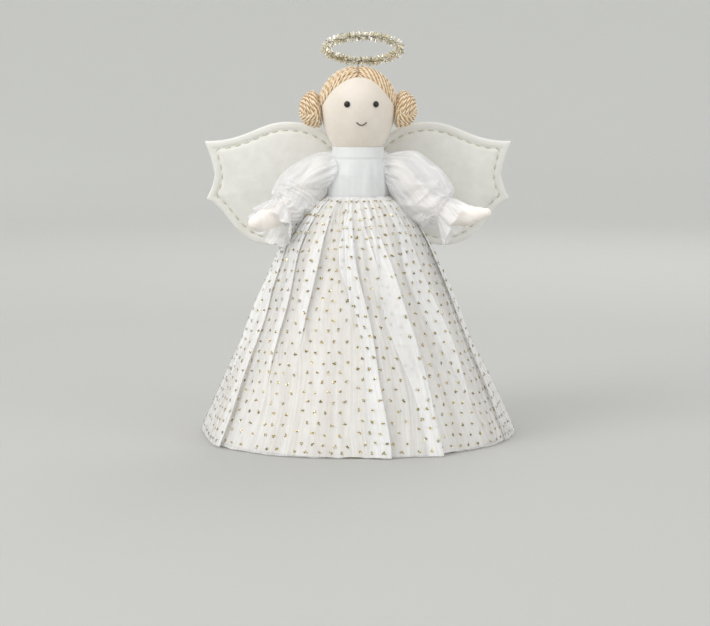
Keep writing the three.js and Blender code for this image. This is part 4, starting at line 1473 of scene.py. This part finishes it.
# %% [markdown]
# ## Wings
#
# Each wing is two pieces of thick felt sewn round a little padding. Inside the line of stitches
# the felt swells, and outside it a soft border is left. The running stitch is metallic thread: one
# long grain-shaped stitch after another, set along the seam by Geometry Nodes.

# %% Wing outline and place
FELT = 1.5 * MM
FELT_GAP = 0.15 * MM
WING_THICKNESS = 2 * (FELT + FELT_GAP)
WING_PUFF = 2.6 * MM
WING_BORDER_PUFF = 0.7 * MM
WING_SWEEP = math.radians(7)
SEAM_INSET = 7.2 * MM
WING_ROOT = 14
WING_CREST = (49, 41)
WING_TIP = (124, 22)
WING_NOTCH = (115.5, -8)
WING_LOW_TIP = (123.5, -30)
WING_LOBE = (66, -70)


def wing_outline(count):
    """The felt's cut edge, in the wing's own plane, from the top of its root round to the bottom."""
    root_top, root_bottom = (0, WING_ROOT), (0, -WING_ROOT)
    crest, tip, notch, low_tip, lobe = WING_CREST, WING_TIP, WING_NOTCH, WING_LOW_TIP, WING_LOBE
    bow_high = ((tip[0] + notch[0]) / 2 - 1.5, (tip[1] + notch[1]) / 2)
    bow_low = ((notch[0] + low_tip[0]) / 2 - 1.5, (notch[1] + low_tip[1]) / 2)
    spans = [
        (root_top, (crest[0] * 0.2, lerp(WING_ROOT, crest[1], 0.6)), (crest[0] * 0.55, crest[1]), crest),
        (crest, (lerp(crest[0], tip[0], 0.36), crest[1]), (lerp(crest[0], tip[0], 0.5), tip[1]), tip),
        (tip, bow_high, bow_high, notch),
        (notch, bow_low, bow_low, low_tip),
        (low_tip, (low_tip[0] * 0.84, low_tip[1] * 1.2), (lerp(lobe[0], low_tip[0], 0.6), lobe[1]), lobe),
        (lobe, (lobe[0] * 0.55, lobe[1]), (lobe[0] * 0.22, lerp(-WING_ROOT, lobe[1], 0.5)), root_bottom),
        (root_bottom, root_bottom, root_top, root_top),
    ]
    points = []
    for a, b, c, d in spans:
        corners = [Vector((p[0], p[1], 0)) * MM for p in (a, b, c, d)]
        points += interpolate_bezier(*corners, 60)[:-1]
    closed = even_path(points + [points[0]], 1.0 * MM)
    wanted = [closed[round(k * (len(closed) - 1) / count)] for k in range(count)]
    return [Vector((p.x, p.y)) for p in wanted]


def wing_matrix(side_name, side):
    hinge = joints[side_name + "_wing_fold"]
    lean = math.asin(-hinge["axis"][1] * side)
    place = Matrix.Translation(Vector(hinge["pos_m"]))
    turn = Matrix.Rotation(lean, 4, "X") @ Matrix.Rotation(side * WING_SWEEP, 4, "Z")
    return place @ turn @ Matrix.Translation((0, -WING_THICKNESS / 2, 0))


def edge_distance(p, outline):
    """Distance from a point inside the wing to its cut edge."""
    least = 1.0
    for a, b in zip(outline, outline[1:] + outline[:1]):
        along = b - a
        share = min(1, max(0, (p - a).dot(along) / max(1e-12, along.length_squared)))
        least = min(least, (p - a - along * share).length)
    return least


def felt_height(inset):
    """How far the felt's outer face stands from the wing's middle plane."""
    rounded = math.sqrt(max(0, 1 - (1 - min(1, inset / (1.3 * MM))) ** 2))
    border = WING_BORDER_PUFF * math.sin(math.pi * min(1, inset / SEAM_INSET))
    swell = min(1, max(0, (inset - SEAM_INSET) / (26 * MM)))
    puff = WING_PUFF * math.sqrt(max(0, 1 - (1 - swell) ** 2))
    groove = -0.45 * MM * math.exp(-(((inset - SEAM_INSET) / (1.3 * MM)) ** 2))
    return FELT_GAP + FELT * rounded + border + puff + groove


# %% Felt panels
WING_EDGE_POINTS = 220
WING_RINGS = 40
OUTLINE = wing_outline(WING_EDGE_POINTS)
HEART = Vector((WING_LOBE[0], (WING_CREST[1] + WING_LOBE[1]) / 2)) * MM


def wing_grid():
    """Rings of the outline drawn in to the wing's heart, closest together near the edge."""
    rows = []
    for i in range(WING_RINGS):
        share = 1 - (i / WING_RINGS) ** 1.5
        row = []
        for p in OUTLINE:
            q = HEART.lerp(p, share)
            row.append((q, 0.0 if i == 0 else edge_distance(q, OUTLINE)))
        rows.append(row)
    return rows


WING_GRID = wing_grid()


def make_felt(side_name, side, face_name, face):
    matrix = wing_matrix(side_name, side)
    rings = []
    for row in WING_GRID:
        ring = []
        for q, inset in row:
            rough = 0.25 * MM * grain((q.x, q.y, face), 6 * MM, 14) * smoothstep(0, 6 * MM, inset)
            height = felt_height(inset) + rough
            ring.append(matrix @ Vector((side * q.x, face * height, q.y)))
        rings.append(ring)
    inner = []
    for row in (WING_GRID[-1], WING_GRID[len(WING_GRID) // 2], WING_GRID[0]):
        inner.append([matrix @ Vector((side * q.x, face * FELT_GAP, q.y)) for q, _ in row])
    name = f"{side_name}_wing_{face_name}_felt"
    piece = shell_piece(name, inner + rings, WING_FELT, 0.4, 0.1, True, True)
    flip_if_inside_out(piece)
    nodes = [f"{side_name}_wing_{face_name}"]
    if face_name == "back":
        nodes.append(side_name + "_wing_wadding")
    dress(piece, side_name + "_wing_body", "felt", *nodes)


def flip_if_inside_out(piece):
    mesh = piece.data
    mesh.calc_loop_triangles()
    volume = 0.0
    for triangle in mesh.loop_triangles:
        a, b, c = (mesh.vertices[k].co for k in triangle.vertices)
        volume += a.dot(b.cross(c))
    if volume < 0:
        mesh.flip_normals()


FACES = {"front": -1, "back": 1}
for side_name, side in SIDES.items():
    for face_name, face in FACES.items():
        make_felt(side_name, side, face_name, face)


# %% Running stitch along the seam
STITCH_LENGTH = 5.8 * MM
STITCH_GAP = 2.9 * MM
STITCH_WIDTH = 0.9 * MM
STITCH_PROUD = 0.15 * MM


def seam_points():
    """The outline moved inwards, without the corners where the moved line would cross itself."""
    points = []
    count = len(OUTLINE)
    for k, p in enumerate(OUTLINE):
        along = (OUTLINE[(k + 1) % count] - OUTLINE[k - 1]).normalized()
        q = p + Vector((along.y, -along.x)) * SEAM_INSET
        if edge_distance(q, OUTLINE) > 0.96 * SEAM_INSET:
            points.append(q)
    return points


def stitch_tree():
    """One grain-shaped stitch at each step along a curve, turned to follow it."""
    tree, start, end = new_tree(
        "running_stitch",
        [
            ("Step", "NodeSocketFloat"),
            ("Stitch size", "NodeSocketVector"),
            ("Finish", "NodeSocketMaterial"),
        ],
    )
    to_curve = tree_node(tree, "GeometryNodeMeshToCurve")
    steps = tree_node(tree, "GeometryNodeResampleCurve", mode="LENGTH")
    tie(tree, start, "Geometry", to_curve, "Mesh")
    tie(tree, to_curve, "Curve", steps, "Curve")
    tie(tree, start, "Step", steps, "Length")
    stitch = tree_node(tree, "GeometryNodeMeshUVSphere", {"Segments": 10, "Rings": 8, "Radius": 1.0})
    tangent = tree_node(tree, "GeometryNodeInputTangent")
    turn = tree_node(tree, "FunctionNodeAlignRotationToVector", axis="X")
    tie(tree, tangent, "Tangent", turn, "Vector")
    setter = tree_node(tree, "GeometryNodeInstanceOnPoints")
    tie(tree, steps, "Curve", setter, "Points")
    tie(tree, stitch, "Mesh", setter, "Instance")
    tie(tree, turn, "Rotation", setter, "Rotation")
    tie(tree, start, "Stitch size", setter, "Scale")
    close_tree(tree, setter.outputs["Instances"], end, start)
    return tree


STITCHES = stitch_tree()


def make_stitches(side_name, side):
    matrix = wing_matrix(side_name, side)
    seam = even_path([Vector((q.x, q.y, 0)) for q in seam_points()], 1.0 * MM)
    height = felt_height(SEAM_INSET) + STITCH_PROUD
    points = []
    edges = []
    for face in FACES.values():
        first = len(points)
        points += [matrix @ Vector((side * q.x, face * height, q.y)) for q in seam]
        edges += [(k, k + 1) for k in range(first, len(points) - 1)]
    mesh = bpy.data.meshes.new("seam_line")
    mesh.from_pydata([tuple(p) for p in points], edges, [])
    carrier = bpy.data.objects.new("seam_line", mesh)
    bpy.context.collection.objects.link(carrier)
    size = (STITCH_LENGTH / 2, STITCH_WIDTH, STITCH_WIDTH)
    values = {"Step": STITCH_LENGTH + STITCH_GAP, "Stitch size": size, "Finish": STITCH_THREAD}
    piece = grown(side_name + "_wing_stitches", carrier, STITCHES, values)
    piece.data.polygons.foreach_set("use_smooth", [True] * len(piece.data.polygons))
    dress(piece, side_name + "_wing_body", "tinsel")


for side_name, side in SIDES.items():
    make_stitches(side_name, side)


# %% [markdown]
# ## Halo
#
# Tinsel is a wire with hundreds of short strips of metal film caught in its twist, sticking out
# all round. Geometry Nodes set strips along a circle, turn each one at random and give it a tint.

# %% Tinsel ring
ring_low, ring_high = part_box("halo_ring")
HALO_CENTRE = (Vector(ring_low) + Vector(ring_high)) / 2
HALO_RADIUS = 31 * MM
HALO_TILT = math.radians(19)
HALO_STRIPS = 2600
STRIP_CURL = 60.0
CORE_RADIUS = 1.0 * MM
CORE_LAY = 4 * MM
CORE_STEP = 1.2 * MM
CORE_POINTS = 120


def halo_place(turn):
    """A point on the ring's core."""
    flat = Vector((math.cos(turn), math.sin(turn), 0)) * HALO_RADIUS
    return HALO_CENTRE + Matrix.Rotation(-HALO_TILT, 3, "X") @ flat


def tinsel_places():
    picker = random.Random(17)
    axis = Matrix.Rotation(-HALO_TILT, 3, "X") @ Vector((0, 0, 1))
    places = []
    for k in range(HALO_STRIPS):
        turn = 2 * math.pi * (k + picker.random()) / HALO_STRIPS
        spoke = (halo_place(turn) - HALO_CENTRE).normalized()
        roll = picker.uniform(0, 2 * math.pi)
        along = axis.cross(spoke)
        facing = spoke * math.cos(roll) + axis * math.sin(roll) + along * picker.uniform(-0.7, 0.7)
        places.append((halo_place(turn), facing.normalized()))
    return places


def tinsel_tree():
    """A narrow bent strip stands on each point, along the point's own direction."""
    tree, start, end = new_tree(
        "tinsel_strips",
        [
            ("Strip length", "NodeSocketFloat"),
            ("Strip width", "NodeSocketFloat"),
            ("Finish", "NodeSocketMaterial"),
        ],
    )
    strip = tree_node(tree, "GeometryNodeMeshGrid", {"Vertices X": 2, "Vertices Y": 4})
    tie(tree, start, "Strip width", strip, "Size X")
    tie(tree, start, "Strip length", strip, "Size Y")
    upright = tree_node(tree, "GeometryNodeTransform", {"Rotation": (math.pi / 2, 0, 0)})
    half = tree_node(tree, "ShaderNodeMath", {1: 0.5}, operation="MULTIPLY")
    lift = tree_node(tree, "ShaderNodeCombineXYZ")
    tie(tree, start, "Strip length", half, 0)
    tie(tree, half, 0, lift, "Z")
    tie(tree, strip, "Mesh", upright, "Geometry")
    tie(tree, lift, "Vector", upright, "Translation")
    place = tree_node(tree, "GeometryNodeInputPosition")
    split = tree_node(tree, "ShaderNodeSeparateXYZ")
    curl = tree_node(tree, "ShaderNodeMath", {1: 2.0}, operation="POWER")
    amount = tree_node(tree, "ShaderNodeMath", {1: STRIP_CURL}, operation="MULTIPLY")
    bend = tree_node(tree, "ShaderNodeCombineXYZ")
    shape = tree_node(tree, "GeometryNodeSetPosition")
    tie(tree, place, "Position", split, "Vector")
    tie(tree, split, "Z", curl, 0)
    tie(tree, curl, 0, amount, 0)
    tie(tree, amount, 0, bend, "Y")
    tie(tree, upright, "Geometry", shape, "Geometry")
    tie(tree, bend, "Vector", shape, "Offset")
    whole_turn = {"Min": (0, 0, -3.14), "Max": (0, 0, 3.14), "Seed": 2}
    spin = tree_node(tree, "FunctionNodeRandomValue", whole_turn, data_type="FLOAT_VECTOR")
    strips = shape.outputs["Geometry"]
    return scattered(tree, start, end, strips, spin, ((0.6, 0.6, 0.55), (1.3, 1.0, 1.1)), (4, 8))


tinsel = grown(
    "halo_tinsel",
    point_cloud("tinsel_points", tinsel_places()),
    tinsel_tree(),
    {"Strip length": 4.6 * MM, "Strip width": 0.9 * MM, "Finish": HALO_FILM},
)
dress(tinsel, "halo_body", "tinsel", "halo_ring")


def make_halo_core():
    points = [halo_place(2 * math.pi * k / CORE_POINTS) for k in range(CORE_POINTS + 1)]
    rings = rope_rings(even_path(points, CORE_STEP), CORE_RADIUS, 2, CORE_LAY, 10)
    piece = joined_ropes("halo_core_wire", [rings], WIRE, CORE_STEP, CORE_LAY)
    dress(piece, "halo_body", "wire")


make_halo_core()
